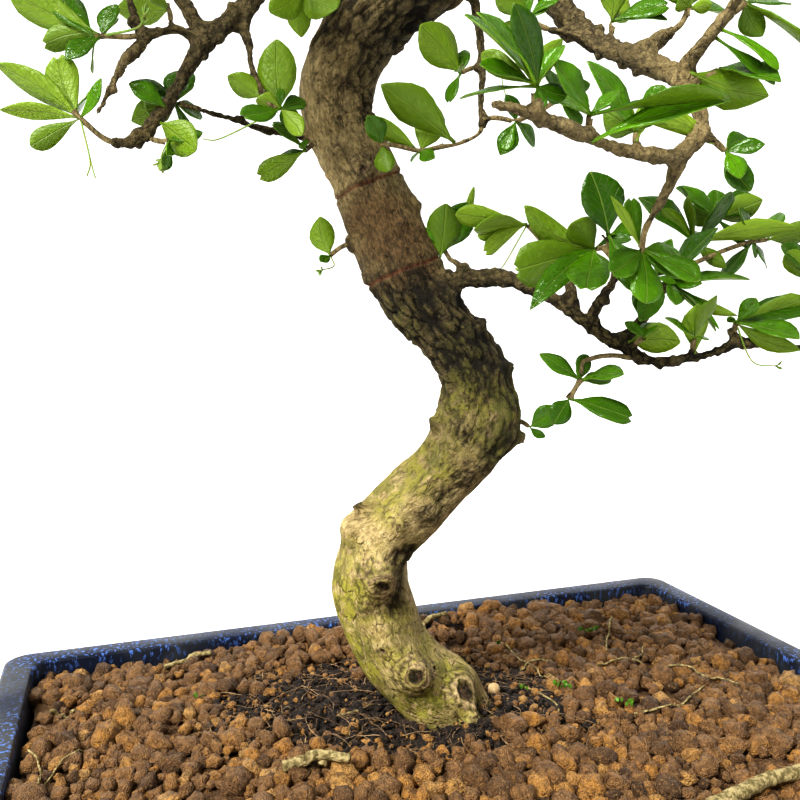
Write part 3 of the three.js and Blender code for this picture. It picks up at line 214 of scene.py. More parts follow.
def rows_of(values: bpy.types.bpy_prop_collection, name: str) -> np.ndarray:
    """Reads a vector of each vertex.

    Args:
        values: The vertices or their normals.
        name: The vector's name.

    Returns:
        Rows of x, y, z.
    """
    flat = np.empty(len(values) * 3)
    values.foreach_get(name, flat)
    return flat.reshape(-1, 3)


def points_of(obj: bpy.types.Object) -> np.ndarray:
    """The object's vertices as rows of x, y, z."""
    return rows_of(obj.data.vertices, "co")


def normals_of(obj: bpy.types.Object) -> np.ndarray:
    """The object's vertex normals as rows of x, y, z."""
    return rows_of(obj.data.vertex_normals, "vector")


def put_points(obj: bpy.types.Object, points: np.ndarray) -> None:
    """Moves the object's vertices to rows of x, y, z."""
    obj.data.vertices.foreach_set("co", points.ravel())
    obj.data.update()


def put_values(obj: bpy.types.Object, name: str, values: np.ndarray) -> None:
    """Stores a number or a vector for each vertex.

    Args:
        obj: The object.
        name: The attribute's name.
        values: One number, or one row of three, for each vertex.
    """
    kind, field_name = ("FLOAT", "value") if values.ndim == 1 else ("FLOAT_VECTOR", "vector")
    attribute = obj.data.attributes.get(name) or obj.data.attributes.new(name, kind, "POINT")
    attribute.data.foreach_set(field_name, values.astype(np.float32).ravel())


def smooth(obj: bpy.types.Object, degrees: float = 180) -> None:
    """Shades an object smooth, but for edges sharper than an angle.

    Args:
        obj: The object.
        degrees: The angle past which an edge stays sharp.
    """
    pick(obj)
    if degrees >= 180:
        bpy.ops.object.shade_smooth()
    else:
        bpy.ops.object.shade_smooth_by_angle(angle=math.radians(degrees))


def smoothstep(low: float, high: float, values: np.ndarray) -> np.ndarray:
    """A soft step from 0 at low to 1 at high."""
    share = np.clip((values - low) / (high - low), 0, 1)
    return share * share * (3 - 2 * share)


def noise_at(points: np.ndarray, size: float, seed: float = 0) -> np.ndarray:
    """Smooth noise of about -1 to 1 at each point, with lumps of a size in the points' unit."""
    shift = Vector((seed * 17.3, seed * 5.1, -seed * 9.7))
    return np.array([noise.noise(Vector(p) + shift) for p in (points / size).tolist()])


def fresh(add: Callable, **settings: object) -> bpy.types.Object:
    """Adds a primitive with nothing else selected.

    Args:
        add: The operator that adds it.
        **settings: The operator's own settings.

    Returns:
        The primitive.
    """
    bpy.ops.object.select_all(action="DESELECT")
    add(**settings)
    return bpy.context.object


def dress(obj: bpy.types.Object, slot: Slot, *nodes: str) -> None:
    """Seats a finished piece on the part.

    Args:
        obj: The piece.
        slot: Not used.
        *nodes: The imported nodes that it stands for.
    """
    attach(obj, ROOT)
    if nodes:
        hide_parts(*nodes)
    triangles = sum(len(face.vertices) - 2 for face in obj.data.polygons)
    LOG.info("%s: %d triangles", obj.name, triangles)


# Places


@dataclass(frozen=True)
class TreeAxes:
    """The tree's own axes in the part's frame."""

    turn: float = math.radians(18.9)

    def centre(self) -> np.ndarray:
        """The middle of the pot on the ground."""
        low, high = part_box("pot")
        return np.array([(low.x + high.x) / 2, (low.y + high.y) / 2, 0])

    def way(self, places: np.ndarray) -> np.ndarray:
        """Turns directions of the tree into the part's frame.

        Args:
            places: A direction, or rows of them.

        Returns:
            The same in the part's frame.
        """
        cos, sin = math.cos(self.turn), math.sin(self.turn)
        matrix = np.array([[cos, sin, 0], [-sin, cos, 0], [0, 0, 1]])
        return np.asarray(places, float) @ matrix.T

    def place(self, places_mm: np.ndarray) -> np.ndarray:
        """Turns places of the tree, in millimetres, into the part's frame, in metres."""
        return self.way(np.asarray(places_mm, float) * MM) + self.centre()

    def pot_place(self, places_mm: np.ndarray) -> np.ndarray:
        """The same for places given along the pot's own sides."""
        return np.asarray(places_mm, float) * MM + self.centre()

    def to_pot(self, places: np.ndarray) -> np.ndarray:
        """Places of the part's frame along the pot's sides, in millimetres."""
        return (np.asarray(places, float) - self.centre()) / MM


TREE = TreeAxes()


@dataclass(frozen=True)
class Eye:
    """The camera that saw the tree, in the tree's axes."""

    place_mm: Point = (-29.4, -309.2, 262.0)
    down: float = math.radians(6.4)
    lens_mm: float = 36.8
    sensor_mm: float = 36.0
    image_px: float = 800.0

    @property
    def focal_px(self) -> float:
        """The focal length in pixels."""
        return self.lens_mm / self.sensor_mm * self.image_px

    def make(self) -> None:
        """Adds the camera to the scene."""
        data = bpy.data.cameras.new("show_side")
        data.lens = self.lens_mm
        data.sensor_width = self.sensor_mm
        data.clip_start = 0.01
        camera = new_object("show_side", data)
        camera.location = TREE.place(self.place_mm)
        camera.rotation_euler = (math.pi / 2 - self.down, 0, -TREE.turn)
        bpy.context.scene.camera = camera

    def ray(self, u_px: float, v_px: float) -> tuple[Vector, Vector]:
        """The line of sight through a pixel of the 800 pixel square picture.

        Args:
            u_px: Pixels from the left.
            v_px: Pixels from the top.

        Returns:
            Where it starts and which way it goes, in the part's frame.
        """
        right = (u_px - self.image_px / 2) / self.focal_px
        rise = (self.image_px / 2 - v_px) / self.focal_px
        cos, sin = math.cos(self.down), math.sin(self.down)
        way = TREE.way(np.array([right, cos + rise * sin, -sin + rise * cos]))
        return Vector(TREE.place(self.place_mm)), Vector(way).normalized()

    def at(self, u_px: float, v_px: float, depth: float) -> np.ndarray:
        """The point that a pixel shows at a depth straight ahead of the camera."""
        start, way = self.ray(u_px, v_px)
        return np.array(start) + np.array(way) * depth / (way @ Vector(self.ahead()))

    def ahead(self) -> np.ndarray:
        """The way that the camera looks."""
        return TREE.way(np.array([0.0, math.cos(self.down), -math.sin(self.down)]))

    def seen(self, points: np.ndarray) -> np.ndarray:
        """Where points are in the picture.

        Args:
            points: Rows of x, y, z.

        Returns:
            Rows of the pixel from the left, the pixel from the top and the depth.
        """
        off = points - TREE.place(self.place_mm)
        side = TREE.way(np.array([1.0, 0.0, 0.0]))
        ahead = self.ahead()
        depth = off @ ahead
        scale = self.focal_px / depth
        middle = self.image_px / 2
        return np.column_stack([middle + scale * (off @ side),
                                middle - scale * (off @ np.cross(side, ahead)), depth])

    def hit(self, tree: BVHTree, u_px: float, v_px: float) -> Vector | None:
        """The first point of a surface seen through a pixel, or None."""
        start, way = self.ray(u_px, v_px)
        return tree.ray_cast(start, way)[0]


EYE = Eye()


# Shader tools


class Wiring:
    """Short ways to add and link the nodes of one shader tree."""

    def __init__(self, tree: bpy.types.NodeTree) -> None:
        """Keeps the tree to work in."""
        self.tree = tree

    def fill(self, node: bpy.types.Node, inputs: dict) -> None:
        """Sets or links inputs of a node.

        Args:
            node: The node.
            inputs: Values or sockets for its inputs, by name or index.
        """
        for key, value in inputs.items():
            if isinstance(value, bpy.types.NodeSocket):
                self.tree.links.new(value, node.inputs[key])
            else:
                node.inputs[key].default_value = value

    def add(self, kind: str, inputs: dict | None = None, **settings: object) -> bpy.types.Node:
        """Adds a node.

        Args:
            kind: The node's type, without its ShaderNode prefix.
            inputs: Values or sockets for its inputs, by name or index.
            **settings: The node's own settings.

        Returns:
            The node.
        """
        node = self.tree.nodes.new("ShaderNode" + kind)
        for name, value in settings.items():
            setattr(node, name, value)
        self.fill(node, inputs or {})
        return node

    def object_place(self) -> bpy.types.NodeSocket:
        """The place on the part, in metres."""
        return self.add("TexCoord").outputs["Object"]

    def value_of(self, name: str) -> bpy.types.NodeSocket:
        """A number stored on the mesh under a name."""
        return self.add("Attribute", attribute_name=name).outputs["Fac"]

    def vector_of(self, name: str) -> bpy.types.NodeSocket:
        """A vector stored on the mesh under a name."""
        return self.add("Attribute", attribute_name=name).outputs["Vector"]

    def stretched(self, vector: bpy.types.NodeSocket, scale: float) -> bpy.types.NodeSocket:
        """The vector with its third axis scaled, which draws a pattern out along that axis."""
        return self.add("Mapping", {"Vector": vector, "Scale": (1, 1, scale)}).outputs["Vector"]

    def math(self, what: str, *values: object) -> bpy.types.NodeSocket:
        """A sum or other operation on numbers or sockets."""
        return self.add("Math", dict(enumerate(values)), operation=what).outputs[0]

    def times(self, first: object, second: object) -> bpy.types.NodeSocket:
        """The product of two numbers or sockets."""
        return self.math("MULTIPLY", first, second)

    def ranged(self, value: bpy.types.NodeSocket, low: object, high: object, start: float = 0,
               end: float = 1) -> bpy.types.NodeSocket:
        """Takes a number between low and high to its place between start and end."""
        return self.add("MapRange", {"Value": value, "From Min": low, "From Max": high,
                                     "To Min": start, "To Max": end}).outputs["Result"]

    def mix(self, share: object, low: object, high: object) -> bpy.types.NodeSocket:
        """Blends two colours.

        Args:
            share: How much of the second, a number or a socket.
            low: The first colour or socket.
            high: The second colour or socket.

        Returns:
            The blended colour.
        """
        first = low if isinstance(low, bpy.types.NodeSocket) else (*low, 1)
        second = high if isinstance(high, bpy.types.NodeSocket) else (*high, 1)
        node = self.add("Mix", {0: share, 6: first, 7: second}, data_type="RGBA")
        return node.outputs[2]

    def ramp(self, share: bpy.types.NodeSocket, stops: list[tuple[float, Rgb]]
             ) -> bpy.types.NodeSocket:
        """Colours along a number from 0 to 1.

        Args:
            share: The number.
            stops: Places and their colours, lowest first.

        Returns:
            The colour.
        """
        node = self.add("ValToRGB", {"Fac": share})
        elements = node.color_ramp.elements
        for spare in range(len(stops) - len(elements)):
            elements.new(1 - 0.01 * (spare + 1))
        for element, (place, colour) in zip(elements, stops):
            element.position = place
            element.color = (*colour, 1)
        return node.outputs["Color"]

    def group(self, tree: bpy.types.NodeTree, inputs: dict) -> bpy.types.NodeSocket:
        """Places a node group with its inputs and returns its first output."""
        return self.add("Group", inputs, node_tree=tree).outputs[0]


class Effect:
    """A shader group that more than one finish uses."""

    def __init__(self, name: str, inputs: list[tuple[str, float | None]], output: str) -> None:
        """Makes the empty group.

        Args:
            name: The group's name.
            inputs: Its inputs with their values, None for a vector.
            output: Its output's name.
        """
        self.tree = bpy.data.node_groups.new(name, "ShaderNodeTree")
        for label, value in inputs:
            kind = "NodeSocketVector" if value is None else "NodeSocketFloat"
            socket = self.tree.interface.new_socket(label, in_out="INPUT", socket_type=kind)
            if value is not None:
                socket.default_value = value
        self.tree.interface.new_socket(output, in_out="OUTPUT", socket_type="NodeSocketFloat")
        self.wiring = Wiring(self.tree)
        self.inputs = self.tree.nodes.new("NodeGroupInput").outputs
        self.end = self.tree.nodes.new("NodeGroupOutput")

    def give(self, socket: bpy.types.NodeSocket) -> bpy.types.NodeTree:
        """Links the group's result and returns the finished group."""
        self.tree.links.new(socket, self.end.inputs[0])
        return self.tree


def mottle_effect() -> bpy.types.NodeTree:
    """Soft patches: 1 where a noise is above a band and 0 below it.

    Returns:
        The group.
    """
    effect = Effect("mottle", [("Vector", None), ("Scale", 100), ("Detail", 3), ("Low", 0.45),
                               ("High", 0.55)], "Mask")
    wires = effect.wiring
    clouds = wires.add("TexNoise", {"Vector": effect.inputs["Vector"],
                                    "Scale": effect.inputs["Scale"],
                                    "Detail": effect.inputs["Detail"], "Roughness": 0.6})
    step = wires.add("MapRange", {"Value": clouds.outputs["Fac"], "From Min": effect.inputs["Low"],
                                  "From Max": effect.inputs["High"]},
                     interpolation_type="SMOOTHSTEP")
    return effect.give(step.outputs["Result"])


def relief_effect() -> bpy.types.NodeTree:
    """A height made of coarse and fine noise.

    Returns:
        The group.
    """
    effect = Effect("relief", [("Vector", None), ("Coarse", 300), ("Fine", 1500),
                               ("Fine share", 0.4)], "Height")
    wires = effect.wiring
    coarse = wires.add("TexNoise", {"Vector": effect.inputs["Vector"],
                                    "Scale": effect.inputs["Coarse"], "Detail": 3})
    fine = wires.add("TexNoise", {"Vector": effect.inputs["Vector"],
                                  "Scale": effect.inputs["Fine"], "Detail": 2})
    both = wires.add("Mix", {0: effect.inputs["Fine share"], 2: coarse.outputs["Fac"],
                             3: fine.outputs["Fac"]})
    return effect.give(both.outputs[0])


def crack_effect() -> bpy.types.NodeTree:
    """Thin lines between cells: 1 in the crack and 0 away from it.

    Returns:
        The group.
    """
    effect = Effect("cracks", [("Vector", None), ("Scale", 300), ("Width", 0.08)], "Mask")
    wires = effect.wiring
    wobble = wires.add("TexNoise", {"Vector": effect.inputs["Vector"],
                                    "Scale": effect.inputs["Scale"], "Detail": 2})
    bend = wires.add("VectorMath", {0: wobble.outputs["Color"], 1: (0.5, 0.5, 0.5)},
                     operation="SUBTRACT")
    size = wires.math("DIVIDE", 0.7, effect.inputs["Scale"])
    push = wires.add("VectorMath", {0: bend.outputs[0], "Scale": size}, operation="SCALE")
    moved = wires.add("VectorMath", {0: effect.inputs["Vector"], 1: push.outputs[0]},
                      operation="ADD")
    cells = wires.add("TexVoronoi", {"Vector": moved.outputs[0], "Scale": effect.inputs["Scale"]},
                      feature="DISTANCE_TO_EDGE")
    return effect.give(wires.ranged(cells.outputs["Distance"], 0, effect.inputs["Width"], 1, 0))


@dataclass
class Effects:
    """The shared shader groups."""

    mottle: bpy.types.NodeTree = field(default_factory=mottle_effect)
    relief: bpy.types.NodeTree = field(default_factory=relief_effect)
    cracks: bpy.types.NodeTree = field(default_factory=crack_effect)


class Paint(Wiring):
    """A material in the making: its tree, its shared effects and its surface shader."""

    def __init__(self, name: str, effects: Effects) -> None:
        """Makes the material.

        Args:
            name: The material's name.
            effects: The shared shader groups.
        """
        self.material = bpy.data.materials.new(name)
        self.material.use_nodes = True
        super().__init__(self.material.node_tree)
        self.effects = effects
        self.surface = self.tree.nodes["Principled BSDF"]

    def mottle(self, vector: bpy.types.NodeSocket, scale: float, detail: float, low: float,
               high: float) -> bpy.types.NodeSocket:
        """Soft patches, so many in a metre, that a noise fills from low to high."""
        return self.group(self.effects.mottle, {"Vector": vector, "Scale": scale,
                                                "Detail": detail, "Low": low, "High": high})

    def relief(self, vector: bpy.types.NodeSocket, coarse: float, fine: float, share: float
               ) -> bpy.types.NodeSocket:
        """A height of coarse and fine lumps, so many in a metre, and the fine ones' share."""
        return self.group(self.effects.relief, {"Vector": vector, "Coarse": coarse,
                                                "Fine": fine, "Fine share": share})

    def bump(self, height: bpy.types.NodeSocket, depth: float, strength: float = 1) -> None:
        """Raises the surface by a height from 0 to 1 that is so many metres deep."""
        node = self.add("Bump", {"Height": height, "Distance": depth, "Strength": strength})
        self.feed({"Normal": node.outputs["Normal"]})

    def feed(self, inputs: dict) -> None:
        """Sets or links inputs of the surface shader."""
        self.fill(self.surface, inputs)


# Finishes


@dataclass(frozen=True)
class GlazeFinish:
    """Slate glaze with runs of bright blue flecks."""

    slate: Rgb = (0.042, 0.044, 0.046)
    ink: Rgb = (0.008, 0.012, 0.026)
    blue: Rgb = (0.095, 0.19, 0.50)
    pit: Rgb = (0.01, 0.01, 0.012)
    roughness: float = 0.36
    # Between these heights, in metres, the flecks grow from the walls' few to the rim's many; the
    # walls' few flecks paint the shade inside the pot, and the outer walls get them too
    rim_heights: tuple[float, float] = (0.0885, 0.0935)
    shaded_wall_flecks: float = 0.12

    def make(self, effects: Effects) -> bpy.types.Material:
        """Builds the material.

        Args:
            effects: The shared shader groups.

        Returns:
            The material.
        """
        paint = Paint("slate_glaze", effects)
        place = paint.object_place()
        clouds = paint.mottle(place, 30, 3, 0.35, 0.65)
        base = paint.mix(clouds, self.slate, self.ink)
        fleck = paint.mottle(paint.stretched(place, 0.45), 560, 7, 0.53, 0.62)
        where = paint.mottle(place, 26, 3, 0.42, 0.62)
        blue = paint.times(fleck, paint.math("MULTIPLY_ADD", where, 0.80, 0.22))
        height = paint.add("SeparateXYZ", {"Vector": place}).outputs["Z"]
        # Painted shade: fewer bright flecks below the rim, for the shaded inner wall
        blue = paint.times(blue, paint.ranged(height, *self.rim_heights, self.shaded_wall_flecks))
        pits = paint.mottle(place, 900, 1, 0.70, 0.74)
        paint.feed({
            "Base Color": paint.mix(pits, paint.mix(blue, base, self.blue), self.pit),
            "Roughness": paint.math("MULTIPLY_ADD", clouds, 0.08, self.roughness),
            "Specular IOR Level": 0.24,
            "Coat Weight": 0.10,
            "Coat Roughness": 0.08,
        })
        paint.bump(paint.relief(place, 60, 420, 0.25), 0.0006, 0.5)
        return paint.material


@dataclass(frozen=True)
class ClayFinish:
    """Baked clay grains, each with its own brown."""

    dark: Rgb = (0.088, 0.049, 0.024)
    brown: Rgb = (0.305, 0.170, 0.070)
    orange: Rgb = (0.510, 0.262, 0.068)
    sand: Rgb = (0.60, 0.36, 0.13)
    pore: Rgb = (0.022, 0.011, 0.006)

    def make(self, effects: Effects) -> bpy.types.Material:
        """Builds the material.

        Args:
            effects: The shared shader groups.

        Returns:
            The material.
        """
        paint = Paint("baked_clay", effects)
        place = paint.object_place()
        colour = paint.ramp(paint.value_of("tint"), [
            (0.0, self.dark), (0.30, self.brown), (0.60, self.brown), (0.82, self.orange),
            (1.0, self.sand)])
        blotch = paint.mottle(place, 420, 5, 0.38, 0.64)
        colour = paint.mix(paint.times(blotch, 0.6), colour, self.dark)
        rust = paint.mottle(place, 900, 4, 0.52, 0.66)
        colour = paint.mix(paint.times(rust, 0.35), colour, self.sand)
        pores = paint.mottle(place, 1700, 3, 0.56, 0.66)
        colour = paint.mix(paint.times(pores, 0.8), colour, self.pore)
        paint.feed({"Base Color": colour, "Roughness": 0.46, "Specular IOR Level": 0.5})
        paint.bump(paint.relief(place, 720, 1900, 0.55), 0.0032)
        return paint.material


@dataclass(frozen=True)
class PeatFinish:
    """Dark damp peat with crumbs."""

    dark: Rgb = (0.012, 0.009, 0.007)
    crumb: Rgb = (0.075, 0.045, 0.026)

    def make(self, effects: Effects) -> bpy.types.Material:
        """Builds the material.

        Args:
            effects: The shared shader groups.

        Returns:
            The material.
        """
        paint = Paint("damp_peat", effects)
        place = paint.object_place()
        crumbs = paint.mottle(place, 800, 6, 0.44, 0.66)
        paint.feed({"Base Color": paint.mix(crumbs, self.dark, self.crumb), "Roughness": 0.85})
        paint.bump(paint.relief(place, 500, 1800, 0.5), 0.002)
        return paint.material


@dataclass(frozen=True)
class BarkFinish:
    """Old bark: tan wood with lichen, dark fissured plates, algae, wounds and wire marks, with
    painted shade from the mesh's attributes.
    """

    pale: Rgb = (0.560, 0.440, 0.220)
    tan: Rgb = (0.270, 0.200, 0.085)
    weathered_and_shaded: Rgb = (0.135, 0.098, 0.038)
    crack: Rgb = (0.010, 0.007, 0.004)
    dark: Rgb = (0.022, 0.019, 0.008)
    ash: Rgb = (0.098, 0.077, 0.032)
    red: Rgb = (0.140, 0.082, 0.032)
    algae: Rgb = (0.300, 0.280, 0.032)
    olive: Rgb = (0.105, 0.100, 0.018)
    moss: Rgb = (0.050, 0.056, 0.010)
    callus: Rgb = (0.520, 0.380, 0.220)
    wire: Rgb = (0.125, 0.045, 0.020)
    rot: Rgb = (0.085, 0.050, 0.028)

    def make(self, effects: Effects) -> bpy.types.Material:
        """Builds the material.

        Args:
            effects: The shared shader groups.

        Returns:
            The material.
        """
        paint = Paint("old_bark", effects)
        along = paint.vector_of("bark_place")
        fibres = paint.stretched(along, 0.50)
        # The dark attribute holds the rough crust and the painted shade on the limbs' undersides;
        # it darkens the colour towards the crust and deepens the bump
        rough = paint.value_of("dark")
        clouds = paint.mottle(along, 140, 6, 0.42, 0.60)
        lichen = paint.mottle(fibres, 900, 9, 0.44, 0.56)
        wood = paint.math("MULTIPLY_ADD", clouds, 0.45, paint.times(lichen, 0.55))
        colour = paint.mix(wood, self.tan, self.pale)
        # The weather attribute darkens towards the weathered tone: weathering, and painted shade
        # on the trunk's upper part under the crown and on its side away from the key light
        old = paint.mix(lichen, tuple(0.45 * c for c in self.weathered_and_shaded), self.weathered_and_shaded)
        colour = paint.mix(paint.value_of("weather_and_shade"), colour, old)
        red = paint.mix(lichen, tuple(0.50 * c for c in self.red), self.red)
        colour = paint.mix(paint.value_of("red"), colour, red)
        plates = paint.mottle(paint.stretched(along, 0.32), 560, 9, 0.44, 0.58)
        crust = paint.mix(plates, self.ash, self.dark)
        colour = paint.mix(paint.times(rough, 0.9), colour, crust)
        film = paint.mottle(along, 250, 10, 0.36, 0.51)
        green = paint.times(paint.value_of("algae"), film)
        olive = paint.mix(paint.value_of("weather_and_shade"), self.algae, self.olive)
        spots = paint.times(paint.mottle(along, 170, 8, 0.47, 0.58), 0.65)
        tint = paint.mix(spots, olive, self.moss)
        colour = paint.mix(paint.times(green, 0.85), colour, tint)
        broken = paint.mottle(along, 200, 5, 0.47, 0.60)
        lines = paint.group(effects.cracks, {"Vector": fibres, "Scale": 330, "Width": 0.13})
        lines = paint.times(lines, broken)
        much = paint.math("MULTIPLY_ADD", rough, 0.60, 0.24)
        colour = paint.mix(paint.times(lines, much), colour, self.crack)
        specks = paint.mottle(along, 900, 7, 0.585, 0.625)
        colour = paint.mix(paint.times(specks, 0.5), colour, self.crack)
        # Painted shade in the hollows and fissures, from the cavity attribute; the fissures' dark
        # is partly their own colour
        colour = paint.mix(paint.times(paint.value_of("cavity"), 0.92), colour, self.crack)
        colour = paint.mix(paint.value_of("callus"), colour, self.callus)
        colour = paint.mix(paint.value_of("wire"), colour, self.wire)
        rot = paint.mix(lichen, self.crack, self.rot)
        colour = paint.mix(paint.value_of("wound"), colour, rot)
        paint.feed({"Base Color": colour, "Roughness": 0.8, "Specular IOR Level": 0.35})
        height = paint.times(paint.relief(fibres, 800, 2400, 0.5),
                             paint.math("MULTIPLY_ADD", rough, 0.7, 0.45))
        paint.bump(paint.math("SUBTRACT", height, paint.times(lines, 0.30)), 0.0020)
        return paint.material


@dataclass(frozen=True)
class LeafFinish:
    """Waxy leaves, dark and glossy above, paler and matt below, with fine veins."""

    deep: Rgb = (0.030, 0.084, 0.002)
    fresh: Rgb = (0.105, 0.245, 0.004)
    below: Rgb = (0.092, 0.160, 0.004)
    pale: Rgb = (0.205, 0.300, 0.020)
    vein: Rgb = (0.230, 0.310, 0.055)

    def make(self, effects: Effects) -> bpy.types.Material:
        """Builds the material.

        Args:
            effects: The shared shader groups.

        Returns:
            The material.
        """
        paint = Paint("waxy_leaf", effects)
        place = paint.object_place()
        tint = paint.value_of("tint")
        above = paint.mix(tint, self.deep, self.fresh)
        cloud = paint.mottle(place, 160, 3, 0.35, 0.7)
        above = paint.mix(paint.times(cloud, 0.4), above, self.deep)
        under = paint.mix(tint, self.below, self.pale)
        side = paint.value_of("under")
        leaf = paint.mix(side, above, under)
        uv = paint.add("UVMap", uv_map=LEAF_UV)
        parts = paint.add("SeparateXYZ", {"Vector": uv.outputs["UV"]})
        across = paint.math("ABSOLUTE", parts.outputs["X"])
        rib = paint.ranged(across, 0.008, 0.028, 1, 0)
        slant = paint.math("MULTIPLY_ADD", across, -5.5, paint.times(parts.outputs["Y"], 7))
        wave = paint.math("SINE", paint.times(slant, math.tau))
        veins = paint.math("MAXIMUM", rib, paint.ranged(wave, 0.94, 1, 0, 0.4))
        spots = paint.mottle(place, 420, 3, 0.70, 0.76)
        paint.feed({
            "Base Color": paint.mix(paint.times(veins, 0.5), leaf, self.vein),
            "Roughness": paint.math("MULTIPLY_ADD", side, 0.24, 0.22),
            "Specular IOR Level": 0.36,
            "Coat Weight": paint.times(spots, 0.2),
            "Subsurface Weight": 0.3,
            "Subsurface Radius": (0.6, 1.0, 0.1),
            "Subsurface Scale": 0.0008,
        })
        pucker = paint.relief(place, 240, 900, 0.3)
        paint.bump(paint.math("SUBTRACT", pucker, paint.times(veins, 0.35)), 0.0009)
        return paint.material


@dataclass(frozen=True)
class PlainFinish:
    """A matt or satin stuff of two tones with a fine relief."""

    name: str
    light: Rgb
    shade: Rgb
    roughness: float
    scale: float = 500
    relief: float = 0.0004

    def make(self, effects: Effects) -> bpy.types.Material:
        """Builds the material.

        Args:
            effects: The shared shader groups.

        Returns:
            The material.
        """
        paint = Paint(self.name, effects)
        place = paint.object_place()
        patches = paint.mottle(place, self.scale, 4, 0.38, 0.62)
        paint.feed({"Base Color": paint.mix(patches, self.light, self.shade),
                    "Roughness": self.roughness})
        paint.bump(paint.relief(place, self.scale, self.scale * 4, 0.4), self.relief)
        return paint.material


class Finishes:
    """Every material of the part."""

    def __init__(self) -> None:
        """Builds the materials."""
        effects = Effects()
        self.glaze = GlazeFinish().make(effects)
        self.clay = ClayFinish().make(effects)
        self.peat = PeatFinish().make(effects)
        self.bark = BarkFinish().make(effects)
        self.leaf = LeafFinish().make(effects)
        self.netting = PlainFinish("netting", (0.02, 0.02, 0.02), (0.03, 0.03, 0.03), 0.5,
                                   300).make(effects)
        self.fibre = PlainFinish("root_fibre", (0.38, 0.26, 0.14), (0.17, 0.105, 0.055), 0.8,
                                 200).make(effects)
        self.dead_wood = PlainFinish("dead_wood", (0.46, 0.37, 0.18), (0.16, 0.125, 0.045), 0.85,
                                     520, 0.0016).make(effects)
        self.pebble = PlainFinish("cream_pebble", (0.62, 0.47, 0.26), (0.45, 0.31, 0.15), 0.7,
                                  400).make(effects)
        self.sprout = PlainFinish("moss_sprout", (0.12, 0.26, 0.02), (0.07, 0.16, 0.012), 0.5,
                                  600).make(effects)
        self.stalk = PlainFinish("green_stalk", (0.16, 0.27, 0.03), (0.22, 0.26, 0.05), 0.5,
                                 300).make(effects)


# Patterns that are copied many times


@dataclass
class Pattern:
    """A small mesh that is modelled once and copied."""

    points: np.ndarray
    corners: np.ndarray
    sizes: np.ndarray
    uv: np.ndarray

    @classmethod
    def taken_from(cls, obj: bpy.types.Object) -> Pattern:
        """Reads a pattern from an object and removes the object.

        Args:
            obj: The modelled object.

        Returns:
            The pattern.
        """
        mesh = obj.data
        corners = np.empty(len(mesh.loops), int)
        mesh.loops.foreach_get("vertex_index", corners)
        sizes = np.empty(len(mesh.polygons), int)
        mesh.polygons.foreach_get("loop_total", sizes)
        points = points_of(obj)
        bpy.data.objects.remove(obj)
        return cls(points, corners, sizes, points[corners][:, :2])


@dataclass
class Copies:
    """Many copies of patterns that become one mesh."""

    points: list[np.ndarray] = field(default_factory=list)
    patterns: list[Pattern] = field(default_factory=list)
    tints: list[float] = field(default_factory=list)
    unders: list[np.ndarray] = field(default_factory=list)

    def add(self, pattern: Pattern, points: np.ndarray, tint: float,
            under: np.ndarray | None = None) -> None:
        """Adds a copy.

        Args:
            pattern: What is copied.
            points: Where the copy's vertices are.
            tint: The copy's own shade from 0 to 1.
            under: 1 for each vertex on an underside, or None.
        """
        self.patterns.append(pattern)
        self.points.append(points)
        self.tints.append(tint)
        self.unders.append(np.zeros(len(points)) if under is None else under)

    def made(self, name: str, material: bpy.types.Material) -> bpy.types.Object:
        """Makes the one object of all the copies.

        Args:
            name: The object's name.
            material: Its material.

        Returns:
            The object.
        """
        counts = [len(p) for p in self.points]
        starts = np.concatenate([[0], np.cumsum(counts)[:-1]])
        points = np.concatenate(self.points)
        corners = np.concatenate([p.corners + s for p, s in zip(self.patterns, starts)])
        sizes = np.concatenate([p.sizes for p in self.patterns])
        mesh = bpy.data.meshes.new(name)
        mesh.vertices.add(len(points))
        mesh.vertices.foreach_set("co", points.ravel())
        mesh.loops.add(len(corners))
        mesh.loops.foreach_set("vertex_index", corners)
        mesh.polygons.add(len(sizes))
        mesh.polygons.foreach_set("loop_start", np.concatenate([[0], np.cumsum(sizes)[:-1]]))
        uv = mesh.uv_layers.new(name=LEAF_UV)
        uv.data.foreach_set("uv", np.concatenate([p.uv for p in self.patterns]).ravel())
        mesh.update(calc_edges=True)
        mesh.polygons.foreach_set("use_smooth", np.ones(len(sizes), bool))
        mesh.materials.append(material)
        obj = new_object(name, mesh)
        put_values(obj, "tint", np.repeat(self.tints, counts))
        put_values(obj, "under", np.concatenate(self.unders))
        return obj


def turned_about(axis: np.ndarray, angle: float, vector: np.ndarray) -> np.ndarray:
    """Turns a vector, or rows of them, about a unit axis.

    Args:
        axis: The unit axis.
        angle: How far, in radians.
        vector: The vector or rows of vectors.

    Returns:
        The turned vector or rows.
    """
    cos, sin = math.cos(angle), math.sin(angle)
    along = (vector @ axis)[..., None] * axis
    return vector * cos + np.cross(axis, vector) * sin + along * (1 - cos)


def unit(vector: np.ndarray) -> np.ndarray:
    """The vector at length one."""
    return vector / np.linalg.norm(vector)


def smooth_line(points: np.ndarray, between: int) -> np.ndarray:
    """A smooth line through points.

    Args:
        points: Rows of numbers.
        between: How many steps go from one point to the next.

    Returns:
        Rows on the line, the given points among them.
    """
    padded = np.vstack([2 * points[0] - points[1], points, 2 * points[-1] - points[-2]])
    rows = []
    for index in range(len(points) - 1):
        before, start, end, after = padded[index:index + 4]
        for step in range(between):
            t = step / between
            rows.append(0.5 * (2 * start + (end - before) * t
                               + (2 * before - 5 * start + 4 * end - after) * t ** 2
                               + (3 * start - before - 3 * end + after) * t ** 3))
    rows.append(points[-1])
    return np.array(rows)


def common_way(normals: np.ndarray, weights: np.ndarray) -> np.ndarray:
    """The way that a group of normals points on the whole."""
    return unit((normals * weights[:, None]).sum(axis=0))


